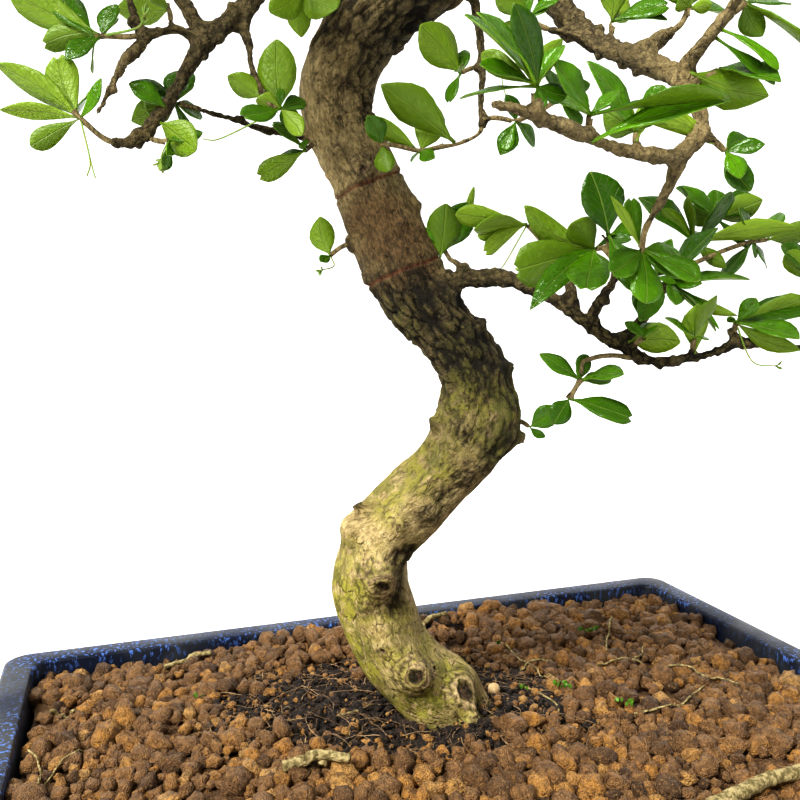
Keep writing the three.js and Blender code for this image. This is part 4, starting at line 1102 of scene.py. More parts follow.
def random_turn(draws: np.random.Generator) -> np.ndarray:
    """A random turning matrix.

    Args:
        draws: The random draws.

    Returns:
        The matrix.
    """
    matrix, _ = np.linalg.qr(draws.normal(size=(3, 3)))
    matrix[:, 0] *= np.sign(np.linalg.det(matrix))
    return matrix


# The pot


@dataclass
class Pot:
    """The oblong glazed pot on four feet, thrown with a flat rim band."""

    corner: float = 9 * MM
    corner_steps: int = 8
    foot_tall: float = 8 * MM
    foot: tuple[float, float] = (46 * MM, 30 * MM)
    foot_inset: float = 19 * MM
    foot_taper: Point = (0.87, 0.8, 1)
    foot_edge: float = 3.2 * MM
    # How far a foot reaches into the body
    overlap: float = 2 * MM
    drain_radius: float = 10 * MM
    drain_spacing: float = 170 * MM
    # Heights and how far each lies inside the outermost line, up outside and down inside
    profile_mm: tuple[tuple[float, float], ...] = (
        (8, 15), (12, 14.6), (47, 9.4), (82, 5.2), (84.5, 4.4), (86, 1.2), (87.5, 0.2), (89, 0),
        (93, 0), (94.3, 0.5), (95, 1.8), (95, 11.4), (94.6, 12.5), (93.6, 13), (60, 16.4),
        (24, 20), (18.2, 22.5), (17, 27),
    )

    def wall(self) -> bpy.types.Object:
        """The body, extruded from its bottom up and down into its cavity.

        Returns:
            The body.
        """
        low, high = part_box("pot")
        width, depth = high.x - low.x, high.y - low.y
        x, y, _ = TREE.centre()
        profile = (np.array(self.profile_mm) * MM).tolist()
        first_z, first_inset = profile[0]
        pot = fresh(bpy.ops.mesh.primitive_plane_add, size=1, location=(x, y, first_z))
        pot.name = "glazed_pot"
        with editing(pot):
            start = (width - 2 * first_inset, depth - 2 * first_inset, 1)
            bpy.ops.transform.resize(value=start, center_override=(x, y, first_z))
            bpy.ops.mesh.bevel(offset=self.corner, segments=self.corner_steps, affect="VERTICES")
            bpy.ops.mesh.select_all(action="SELECT")
            for (z, inset), (next_z, next_inset) in zip(profile, profile[1:]):
                step = {"value": (0, 0, next_z - z)}
                bpy.ops.mesh.extrude_region_move(TRANSFORM_OT_translate=step)
                scale = ((width - 2 * next_inset) / (width - 2 * inset),
                         (depth - 2 * next_inset) / (depth - 2 * inset), 1)
                bpy.ops.transform.resize(value=scale, center_override=(x, y, next_z))
            bpy.ops.mesh.select_all(action="DESELECT")
            bpy.ops.mesh.select_non_manifold()
            bpy.ops.mesh.edge_face_add()
            bpy.ops.mesh.select_all(action="SELECT")
            bpy.ops.mesh.normals_make_consistent(inside=False)
        settle(pot)
        return pot

    def add_feet(self, pot: bpy.types.Object) -> None:
        """Joins the four feet under the body.

        Args:
            pot: The body.
        """
        low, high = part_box("pot")
        length, width = self.foot
        tall = self.foot_tall + self.overlap
        for side_x in (-1, 1):
            for side_y in (-1, 1):
                x = (low.x + high.x + side_x * (high.x - low.x - 2 * self.foot_inset - length)) / 2
                y = (low.y + high.y + side_y * (high.y - low.y - 2 * self.foot_inset - width)) / 2
                foot = fresh(bpy.ops.mesh.primitive_cube_add, size=1,
                             location=(x, y, tall / 2), scale=(length, width, tall))
                settle(foot)
                for face in foot.data.polygons:
                    face.select = face.normal.z < -0.5
                with editing(foot, whole=False):
                    bpy.ops.transform.resize(value=self.foot_taper, center_override=(x, y, 0))
                apply(foot, "BEVEL", width=self.foot_edge, segments=4)
                apply(pot, "BOOLEAN", operation="UNION", object=foot, solver="EXACT")
                bpy.data.objects.remove(foot)

    def drill(self, pot: bpy.types.Object) -> None:
        """Cuts the two drain holes.

        Args:
            pot: The body.
        """
        x, y, _ = TREE.centre()
        for side in (-1, 1):
            drill = fresh(bpy.ops.mesh.primitive_cylinder_add, vertices=40,
                          radius=self.drain_radius, depth=60 * MM,
                          location=(x + side * self.drain_spacing / 2, y, 15 * MM))
            settle(drill)
            apply(pot, "BOOLEAN", operation="DIFFERENCE", object=drill, solver="EXACT")
            bpy.data.objects.remove(drill)

    def build(self, finishes: Finishes) -> None:
        """Makes the pot and glazes it, and gives the drain netting its plastic.

        Args:
            finishes: The materials.
        """
        pot = self.wall()
        self.add_feet(pot)
        self.drill(pot)
        smooth(pot, 50)
        pot.data.materials.append(finishes.glaze)
        dress(pot, Slot.GLAZE, "pot")
        for name in ("drain_mesh_left", "drain_mesh_right"):
            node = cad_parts[name]
            node.data.materials.clear()
            node.data.materials.append(finishes.netting)


# The ground in the pot


@dataclass(frozen=True)
class Ground:
    """The lie of the soil in the pot, in millimetres along the pot's sides."""

    half_width_mm: float = 172.5
    half_depth_mm: float = 125.0
    edge_height_mm: float = 87.0
    mound_mm: float = 9.0
    # The root ball's oval, and how far round it crumbs and roots lie, as a share of its radius
    litter_reach: float = 1.25
    ball_centre_mm: tuple[float, float] = (-30.0, 25.0)
    ball_radii_mm: tuple[float, float] = (74.0, 46.0)
    # The rise round the trunk's foot: x, y in the tree's axes, radius and height
    foot_rise_mm: tuple[float, float, float, float] = (8.0, 2.0, 30.0, 4.2)

    def height(self, x: np.ndarray, y: np.ndarray) -> np.ndarray:
        """The height over the ground of the soil's surface.

        Args:
            x: Places along the pot.
            y: Places across the pot.

        Returns:
            Heights in millimetres.
        """
        in_x = np.minimum(1, np.abs(x) / self.half_width_mm)
        in_y = np.minimum(1, np.abs(y) / self.half_depth_mm)
        mound = self.mound_mm * (1 - in_x ** 4) * (1 - in_y ** 3)
        return self.edge_height_mm + mound + self.foot_rise(x, y)

    def foot_rise(self, x: np.ndarray, y: np.ndarray) -> np.ndarray:
        """How far the peat is heaped up against the trunk's foot.

        Args:
            x: Places along the pot.
            y: Places across the pot.

        Returns:
            Millimetres.
        """
        foot_x, foot_y, radius, height = self.foot_rise_mm
        foot = TREE.way(np.array([foot_x, foot_y, 0.0]))
        gap = np.hypot(x - foot[0], y - foot[1]) / radius
        return height * np.exp(-gap ** 2)

    def peat_distance(self, x: np.ndarray, y: np.ndarray) -> np.ndarray:
        """How far out of the peat's oval a place is: under 1 inside it.

        Args:
            x: Places along the pot.
            y: Places across the pot.

        Returns:
            The distance as a share of the oval's radius.
        """
        cos, sin = math.cos(TREE.turn), math.sin(TREE.turn)
        tree_x = x * cos - y * sin
        tree_y = x * sin + y * cos
        return np.hypot((tree_x - self.ball_centre_mm[0]) / self.ball_radii_mm[0],
                        (tree_y - self.ball_centre_mm[1]) / self.ball_radii_mm[1])

    def peat_place(self, angle: np.ndarray, share: np.ndarray) -> np.ndarray:
        """Places on and round the peat's oval.

        Args:
            angle: Which way each lies from the oval's middle.
            share: How far out it lies, as a share of the oval's radius.

        Returns:
            Their x and y along the pot's sides.
        """
        tree_x = self.ball_centre_mm[0] + self.ball_radii_mm[0] * share * np.cos(angle)
        tree_y = self.ball_centre_mm[1] + self.ball_radii_mm[1] * share * np.sin(angle)
        return TREE.way(np.stack([tree_x, tree_y, 0 * tree_x], -1))[..., :2]


GROUND = Ground()


@dataclass
class Bed:
    """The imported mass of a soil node, remeshed finely and roughened."""

    node: str
    name: str
    slot: Slot
    voxel: float
    sink: float
    lumps: tuple[tuple[float, float], ...]
    # Heights over the ground between which the roughening sets in
    top_mm: tuple[float, float] = (70, 84)
    # The clay bed's dark tint paints the shade in the gaps between the grains
    tint: float = 0.12

    def build(self, material: bpy.types.Material) -> bpy.types.Object:
        """Makes the bed.

        Args:
            material: Its material.

        Returns:
            The bed.
        """
        bed = copy_of(self.node, self.name)
        apply(bed, "REMESH", mode="VOXEL", voxel_size=self.voxel)
        points = points_of(bed)
        normals = normals_of(bed)
        low, high = self.top_mm
        upward = smoothstep(0.3, 0.8, normals[:, 2])
        upward *= smoothstep(low * MM, high * MM, points[:, 2])
        lift = -self.sink * upward
        for seed, (size, depth) in enumerate(self.lumps):
            lift = lift + depth * noise_at(points, size, seed + 1) * upward
        x_mm, y_mm, _ = TREE.to_pot(points).T
        points[:, 2] += lift + upward * MM * GROUND.foot_rise(x_mm, y_mm)
        put_points(bed, points)
        # Painted shade: the dark tint shows in the gaps between the clay grains; the peat's finish
        # does not read it
        put_values(bed, "tint", np.full(len(points), self.tint))
        smooth(bed)
        bed.data.materials.append(material)
        dress(bed, self.slot, self.node)
        return bed


@dataclass
class ClayGrains:
    """Loose baked clay grains over the soil, packed side by side in two layers."""

    seed: int = 11
    # Layers: how many grains, how far they lie over the soil and how much that swings
    layers_mm: tuple[tuple[int, float, float], ...] = ((2900, 0.2, 1.5), (750, -4.6, 1.0))
    shades: tuple[str, ...] = ("grains_dark", "grains_brown", "grains_orange")
    shade_steps: tuple[float, ...] = (0.30, 0.62)
    radius_mm: float = 2.6
    spread: float = 0.38
    least_mm: float = 1.4
    most_mm: float = 5.2
    shapes: int = 7
    settle_rounds: int = 34
    closeness: float = 0.90
    flatness: float = 0.92
    # How far a grain is pushed in one round at most, and how much of the push is used
    push_mm: float = 2.5
    push_share: float = 0.8
    # The trunk's foot, which the grains leave free: x, y in the tree's axes and radius
    trunk_foot_mm: tuple[float, float, float] = (-8.0, 14.0, 19.0)
    # A drift of rusty grains: its middle and its radii along the pot's sides
    rusty_mm: tuple[float, float, float, float] = (-100, -28, 32, 26)
    # Between these places across the pot the heap at the back wall sets in
    back_mm: tuple[float, float] = (70, 121)
    # Places along the pot, and how far the grains are heaped up at the back wall there
    back_rise_mm: tuple[tuple[float, ...], tuple[float, ...]] = (
        (-110, -75, -55, -20, 60, 95, 130), (0.0, 1.5, 4.6, 6.4, 5.0, 2.0, 0.0))

    def lumps(self) -> list[Pattern]:
        """The few lump shapes that every grain is a copy of.

        Returns:
            The shapes, each about a unit in radius.
        """
        patterns = []
        for shape in range(self.shapes):
            lump = fresh(bpy.ops.mesh.primitive_ico_sphere_add, subdivisions=2, radius=1)
            with editing(lump):
                bpy.ops.transform.vertex_random(offset=0.21, uniform=0.6, normal=0.6,
                                                seed=self.seed + shape)
            points = points_of(lump)
            points *= (1 + 0.34 * noise_at(points, 0.8, shape))[:, None]
            put_points(lump, points)
            patterns.append(Pattern.taken_from(lump))
        return patterns

    def allowed(self, x: np.ndarray, y: np.ndarray, draws: np.random.Generator) -> np.ndarray:
        """Where a grain may lie: anywhere but on the open peat, where few do.

        Args:
            x: Places along the pot.
            y: Places across the pot.
            draws: The random draws.

        Returns:
            True for each place that is allowed.
        """
        flat = np.stack([x, y, np.zeros(len(x))], 1)
        ragged = GROUND.peat_distance(x, y) + 0.16 * noise_at(flat, 14.0, 3)
        chance = 0.035 + 0.965 * smoothstep(0.84, 1.10, ragged)
        holes = noise_at(flat, 26.0, 8) > 0.40
        return draws.random(len(x)) < chance * np.where(holes, 0.45, 1)

    def layout(self, count: int, draws: np.random.Generator) -> np.ndarray:
        """Spreads grains over the soil and pushes them apart.

        Args:
            count: How many are tried.
            draws: The random draws.

        Returns:
            Rows of x, y and radius, in millimetres along the pot's sides.
        """
        radius = np.clip(self.radius_mm * np.exp(self.spread * draws.normal(size=count)),
                         self.least_mm, self.most_mm)
        reach = np.array([GROUND.half_width_mm, GROUND.half_depth_mm])
        place = (draws.random((count, 2)) * 2 - 1) * (reach - 4)
        for _ in range(self.settle_rounds):
            tree = KDTree(count)
            for index, (x, y) in enumerate(place.tolist()):
                tree.insert((x, y, 0), index)
            tree.balance()
            push = np.zeros_like(place)
            for index, (x, y) in enumerate(place.tolist()):
                wide = (radius[index] + self.most_mm) * self.closeness
                for spot, other, gap in tree.find_range((x, y, 0), wide):
                    wanted = (radius[index] + radius[other]) * self.closeness
                    if other != index and gap < wanted:
                        share = 0.5 * (wanted - gap) / max(gap, 0.01)
                        push[index] += ((x - spot.x) * share, (y - spot.y) * share)
            place = place + np.clip(push, -self.push_mm, self.push_mm) * self.push_share
            limit = reach[None, :] - radius[:, None] * 0.85
            place = np.clip(place, -limit, limit)
        keep = self.allowed(place[:, 0], place[:, 1], draws)
        foot_x, foot_y, foot_radius = self.trunk_foot_mm
        foot = TREE.way(np.array([foot_x, foot_y, 0]))
        gap = np.hypot(place[:, 0] - foot[0], place[:, 1] - foot[1])
        keep &= gap > foot_radius + radius
        return np.column_stack([place, radius])[keep]

    def build(self, finishes: Finishes) -> list[BVHTree]:
        """Makes the grains, in pieces by colour.

        Args:
            finishes: The materials.

        Returns:
            Their surfaces, for what lies on them.
        """
        draws = np.random.default_rng(self.seed)
        patterns = self.lumps()
        groups = {name: Copies() for name in sorted(self.shades)}
        rusty_x, rusty_y, rusty_long, rusty_wide = self.rusty_mm
        for count, lift, swing in self.layers_mm:
            for x, y, radius in self.layout(count, draws):
                height = float(GROUND.height(np.array(x), np.array(y)))
                rise = np.interp(x, *self.back_rise_mm) * smoothstep(*self.back_mm, np.array(y))
                z = height + lift + float(rise) + swing * (draws.random() - 0.5)
                z += 0.25 * (radius - self.radius_mm)
                shape = draws.normal(1, 0.13, size=3)
                pattern = patterns[draws.integers(len(patterns))]
                points = (pattern.points * shape) @ random_turn(draws).T * radius
                rust = math.exp(-((x - rusty_x) / rusty_long) ** 2
                                - ((y - rusty_y) / rusty_wide) ** 2)
                tint = float(np.clip(draws.beta(1.25, 1.5) + 0.3 * rust, 0, 1))
                points[:, 2] *= self.flatness
                placed = TREE.pot_place(points + np.array([x, y, z]))
                name = self.shades[np.searchsorted(self.shade_steps, tint)]
                groups[name].add(pattern, placed, tint)
        surfaces = []
        for name, copies in groups.items():
            grains = copies.made(name, finishes.clay)
            dress(grains, Slot.CLAY)
            surfaces.append(tree_of(grains))
        return surfaces


@dataclass
class Crumbs:
    """Fine crumbs of peat and clay between the grains and on the peat."""

    seed: int = 23
    count: int = 3600

    def build(self, finishes: Finishes) -> None:
        """Makes the crumbs.

        Args:
            finishes: The materials.
        """
        draws = np.random.default_rng(self.seed)
        pattern = Pattern.taken_from(fresh(bpy.ops.mesh.primitive_ico_sphere_add,
                                           subdivisions=1, radius=1))
        peat, clay = Copies(), Copies()
        angle = draws.random(self.count) * math.tau
        share = np.sqrt(draws.random(self.count)) * GROUND.litter_reach
        place = GROUND.peat_place(angle, share)
        height = GROUND.height(place[:, 0], place[:, 1])
        for (x, y), z in zip(place, height):
            size = 0.5 + 1.7 * draws.random() ** 3
            turn = random_turn(draws)
            lump = pattern.points * draws.normal(1, 0.25, size=3)
            points = lump @ turn.T * size + np.array([x, y, z + 0.2 * draws.random() - 0.6])
            is_clay = draws.random() < 0.10 + 0.5 * GROUND.peat_distance(x, y) ** 3
            (clay if is_clay else peat).add(pattern, TREE.pot_place(points),
                                            0.45 + 0.55 * draws.random())
        dress(peat.made("peat_crumbs", finishes.peat), Slot.PEAT)
        dress(clay.made("clay_crumbs", finishes.clay), Slot.CLAY)


@dataclass(frozen=True)
class Strand:
    """A thin thing of a few sides that follows a line: a root fibre, a twig or a stalk."""

    sides: int

    def tube(self, line: np.ndarray, radii: np.ndarray) -> Pattern:
        """A closed tube along a line.

        Args:
            line: Rows of x, y, z.
            radii: A radius for each row.

        Returns:
            The tube.
        """
        count = len(line)
        way = np.gradient(line, axis=0)
        way /= np.linalg.norm(way, axis=1)[:, None]
        first = unit(np.cross(way[0], (0.31, 0.17, 0.94)))
        rings = []
        for index in range(count):
            first = unit(first - way[index] * (first @ way[index]))
            second = np.cross(way[index], first)
            angles = np.arange(self.sides) / self.sides * math.tau
            ring = np.outer(np.cos(angles), first) + np.outer(np.sin(angles), second)
            rings.append(line[index] + ring * radii[index])
        corners, sizes = [], []
        for index in range(count - 1):
            for side in range(self.sides):
                near = index * self.sides + side
                beside = index * self.sides + (side + 1) % self.sides
                corners += [near, beside, beside + self.sides, near + self.sides]
                sizes.append(4)
        corners += list(range(self.sides))[::-1]
        corners += list(range((count - 1) * self.sides, count * self.sides))
        sizes += [self.sides, self.sides]
        return Pattern(np.concatenate(rings), np.array(corners), np.array(sizes),
                       np.zeros((len(corners), 2)))


@dataclass
class RootFibres:
    """Fine tan roots over the peat and between the grains."""

    seed: int = 31
    count: int = 460
    steps: int = 12

    def build(self, finishes: Finishes) -> None:
        """Makes the fibres.

        Args:
            finishes: The materials.
        """
        draws = np.random.default_rng(self.seed)
        strand = Strand(4)
        copies = Copies()
        for _ in range(self.count):
            angle = draws.random() * math.tau
            share = math.sqrt(draws.random()) * GROUND.litter_reach
            place = GROUND.peat_place(np.array(angle), np.array(share))
            heading = draws.random() * math.tau
            length = 6 + 26 * draws.random() ** 2
            bend = draws.normal(0, 0.35, size=self.steps).cumsum() * 0.6
            line = [place]
            for turn in bend:
                way = np.array([math.cos(heading + turn), math.sin(heading + turn)])
                line.append(line[-1] + way * length / self.steps)
            flat = np.array(line)
            swing = np.sin(np.linspace(0, 1, len(flat)) * math.pi * draws.integers(1, 4))
            z = GROUND.height(flat[:, 0], flat[:, 1]) + 0.3 + 1.3 * swing * draws.random()
            radius = 0.10 + 0.20 * draws.random() ** 3
            radii = radius * np.linspace(1, 0.5, len(flat)) * MM
            fibre = strand.tube(TREE.pot_place(np.column_stack([flat, z])), radii)
            copies.add(fibre, fibre.points, draws.random())
        dress(copies.made("root_fibres", finishes.fibre), Slot.PEAT)


@dataclass(frozen=True)
class Stick:
    """A twig or root lying on the soil: its line in the tree's axes and its thickness."""

    line_mm: tuple[tuple[float, float], ...]
    radius_mm: float
    stiff: bool = False


@dataclass
class Litter:
    """What lies on the soil: cut twigs, a mossy stick, a pebble and moss sprouts."""

    seed: int = 47
    # Line on the soil in the tree's axes and radius in millimetres, and True where it is stiff
    sticks: tuple[Stick, ...] = tuple(Stick(*row) for row in (
        (((-71, -34), (-66, -31.5), (-57, -31), (-47, -33)), 2.0, True),
        (((-58, -31), (-57, -29.5), (-56.5, -28.5)), 1.9, True),
        (((74, -55), (87, -47), (98, -41), (116, -33), (132, -24)), 2.6, True),
        (((-142, 64), (-134, 71), (-122, 74.5)), 1.2, True),
        (((-178, 21), (-172, 23.5), (-167, 20)), 0.9),
        (((83, 110), (79, 98), (74, 84), (70, 69)), 0.5),
        (((62, 53), (75, 60), (86, 67), (90, 77)), 0.45),
        (((80, 60), (92, 54), (104, 50), (112, 41), (119, 32)), 0.5),
        (((66, 8), (78, 11), (90, 17), (98, 26), (104, 34)), 0.45),
        (((22, 76), (28, 60), (34, 46), (40, 30)), 0.4), (((26, 52), (36, 58), (48, 56)), 0.45),
        (((20, 40), (30, 30), (36, 16), (34, 4)), 0.45),
        (((-24, 99), (-14, 111), (-4, 117)), 1.4, True),
        (((-150, -8), (-156, -20), (-158, -30)), 0.4),
        (((-172, -12), (-163, -22), (-158, -36)), 0.4), (((-60, 8), (-48, 14), (-38, 22)), 0.5),
    ))
    pebble_mm: Point = (11, 27, 99.0)
    pebble_radius_mm: float = 2.8
    sprouts_mm: tuple[Point, ...] = (
        (63, 92, 99), (67, 90, 99), (71, 93, 99), (40, 30, 99.5), (42, 28, 99.5), (61, 14, 99.5),
        (65, 12, 99.5), (23, 28, 99), (19, 74, 99.5), (-116, 24, 97),
    )

    def drape(self, line: np.ndarray, stick: Stick, soil: list[BVHTree]) -> np.ndarray:
        """Lays a line on the soil, close to it or straight over its hollows.

        Args:
            line: Rows of x and y in the tree's axes, in millimetres.
            stick: The stick that follows it.
            soil: The surfaces that it lies on.

        Returns:
            Rows of x, y, z in the tree's axes, in millimetres.
        """
        tops = []
        for x, y in line.tolist():
            start = Vector(TREE.place((x, y, 140)))
            hits = [tree.ray_cast(start, Vector((0, 0, -1)))[0] for tree in soil]
            tops.append(max([GROUND.edge_height_mm] + [hit.z / MM for hit in hits if hit]))
        reach = len(tops) // 2 if stick.stiff else 4
        padded = np.pad(tops, reach, mode="edge")
        window = np.lib.stride_tricks.sliding_window_view(padded, 2 * reach + 1)
        height = np.percentile(window, 80, axis=1) + 0.7 * stick.radius_mm
        return np.column_stack([line, height])

    def lay_sticks(self, finishes: Finishes, soil: list[BVHTree]) -> None:
        """Makes the twigs and the bare roots.

        Args:
            finishes: The materials.
            soil: The surfaces that they lie on.
        """
        strand = Strand(12)
        copies = Copies()
        for index, stick in enumerate(self.sticks):
            flat = smooth_line(np.array(stick.line_mm, float), 12)
            wave = np.column_stack([flat, np.zeros(len(flat))])
            bend = [noise_at(wave, 8.0, index + 20 + axis) for axis in range(2)]
            flat = flat + 0.8 * np.stack(bend, 1)
            line = TREE.place(self.drape(flat, stick, soil))
            taper = np.linspace(1.08, 0.86, len(line))
            radius = stick.radius_mm * MM
            twig = strand.tube(line, radius * taper)
            centre = np.repeat(line, strand.sides, axis=0)
            grain = 0.16 * noise_at(twig.points, 1.8 * radius, index)
            grain += 0.14 * noise_at(twig.points, 0.6 * radius, index + 5)
            points = centre + (twig.points - centre) * (1 + grain)[:, None]
            copies.add(twig, points, index / len(self.sticks))
        dress(copies.made("soil_sticks", finishes.dead_wood), Slot.PEAT)

    def lay_pebble(self, finishes: Finishes) -> None:
        """Makes the cream pebble by the trunk.

        Args:
            finishes: The materials.
        """
        pebble = fresh(bpy.ops.mesh.primitive_ico_sphere_add, subdivisions=3,
                       radius=self.pebble_radius_mm * MM)
        pebble.name = "cream_pebble"
        with editing(pebble):
            bpy.ops.transform.vertex_random(offset=0.25 * MM, seed=self.seed)
            bpy.ops.mesh.vertices_smooth(factor=0.5, repeat=2)
            bpy.ops.transform.translate(value=tuple(TREE.place(self.pebble_mm)))
        smooth(pebble)
        pebble.data.materials.append(finishes.pebble)
        dress(pebble, Slot.CLAY)

    def plant_sprouts(self, finishes: Finishes, leaf: Pattern) -> None:
        """Makes tufts of tiny moss leaves.

        Args:
            finishes: The materials.
            leaf: The leaf that they are made of.
        """
        draws = np.random.default_rng(self.seed)
        copies = Copies()
        for tuft in self.sprouts_mm:
            for _ in range(draws.integers(4, 8)):
                way = unit(np.array([draws.normal(), draws.normal(), 1.1 + draws.random()]))
                side = unit(np.cross(way, (draws.normal(), draws.normal(), 0.2)))
                up = np.cross(side, way)
                size = 1.4 + 1.3 * draws.random()
                base = np.array(tuft) + draws.normal(0, 1.1, size=3) * (1, 1, 0.2)
                x, y, z = leaf.points.T
                points = (base + np.outer(y * size, way) + np.outer(x * size * 0.8, side)
                          + np.outer(z * size, up))
                copies.add(leaf, TREE.place(points), draws.random())
        dress(copies.made("moss_sprouts", finishes.sprout), Slot.LEAF)

    def build(self, finishes: Finishes, leaf: Pattern, soil: list[BVHTree]) -> None:
        """Makes all that lies on the soil.

        Args:
            finishes: The materials.
            leaf: The leaf that the moss sprouts are made of.
            soil: The surfaces that it lies on.
        """
        self.lay_sticks(finishes, soil)
        self.lay_pebble(finishes)
        self.plant_sprouts(finishes, leaf)


# The trunk and its branches


class Mark(Enum):
    """What a patch of the bark shows."""

    ALGAE = "algae"
    DARK = "dark"
    RED = "red"


@dataclass(frozen=True)
class Patch:
    """A patch of the bark, placed by the pixel where the photo shows it."""

    mark: Mark
    u_px: float
    v_px: float
    radius_mm: float
    strength: float


@dataclass(frozen=True)
class Swell:
    """A bulge, or with a height below zero a dent, placed by its pixel."""

    u_px: float
    v_px: float
    radius_mm: float
    height_mm: float


@dataclass(frozen=True)
class Knot:
    """A healed wound or bud ring on the bark, placed by its pixel.

    Its dark heart takes a share of its radius.
    """

    u_px: float
    v_px: float
    radius_mm: float
    lip_mm: float
    hollow_mm: float
    heart: float = 0.30


@dataclass
class Survey:
    """The bark's vertices, their normals and its faces, in the part's frame."""

    points: np.ndarray
    normals: np.ndarray
    faces: BVHTree

    @classmethod
    def of(cls, bark: bpy.types.Object) -> Survey:
        """Surveys the bark."""
        return cls(points_of(bark), normals_of(bark), tree_of(bark))

    def gaps(self, spot: np.ndarray) -> np.ndarray:
        """How far each vertex is from a place."""
        return np.linalg.norm(self.points - spot, axis=1)

    def facing(self, x: float, y: float, z: float) -> np.ndarray:
        """How squarely each vertex faces a way that is given in the tree's axes."""
        return self.normals @ TREE.way(np.array([x, y, z]))

    def spots(self, marks: tuple) -> Iterator[tuple]:
        """Finds the places that the marks' pixels show.

        Args:
            marks: Patches, knots or swells.

        Yields:
            A mark and its place on the bark.
        """
        for mark in marks:
            spot = EYE.hit(self.faces, mark.u_px, mark.v_px)
            if spot is None:
                LOG.warning("no bark at %s, %s", mark.u_px, mark.v_px)
            else:
                yield mark, np.array(spot)

    def thickness(self) -> np.ndarray:
        """How thick the wood is under each vertex.

        Returns:
            Metres, for each vertex.
        """
        starts = (self.points - self.normals * 0.2 * MM).tolist()
        found = [self.faces.ray_cast(Vector(start), -Vector(normal), 0.05)[3]
                 for start, normal in zip(starts, self.normals.tolist())]
        return np.array([gap or 0.0 for gap in found])


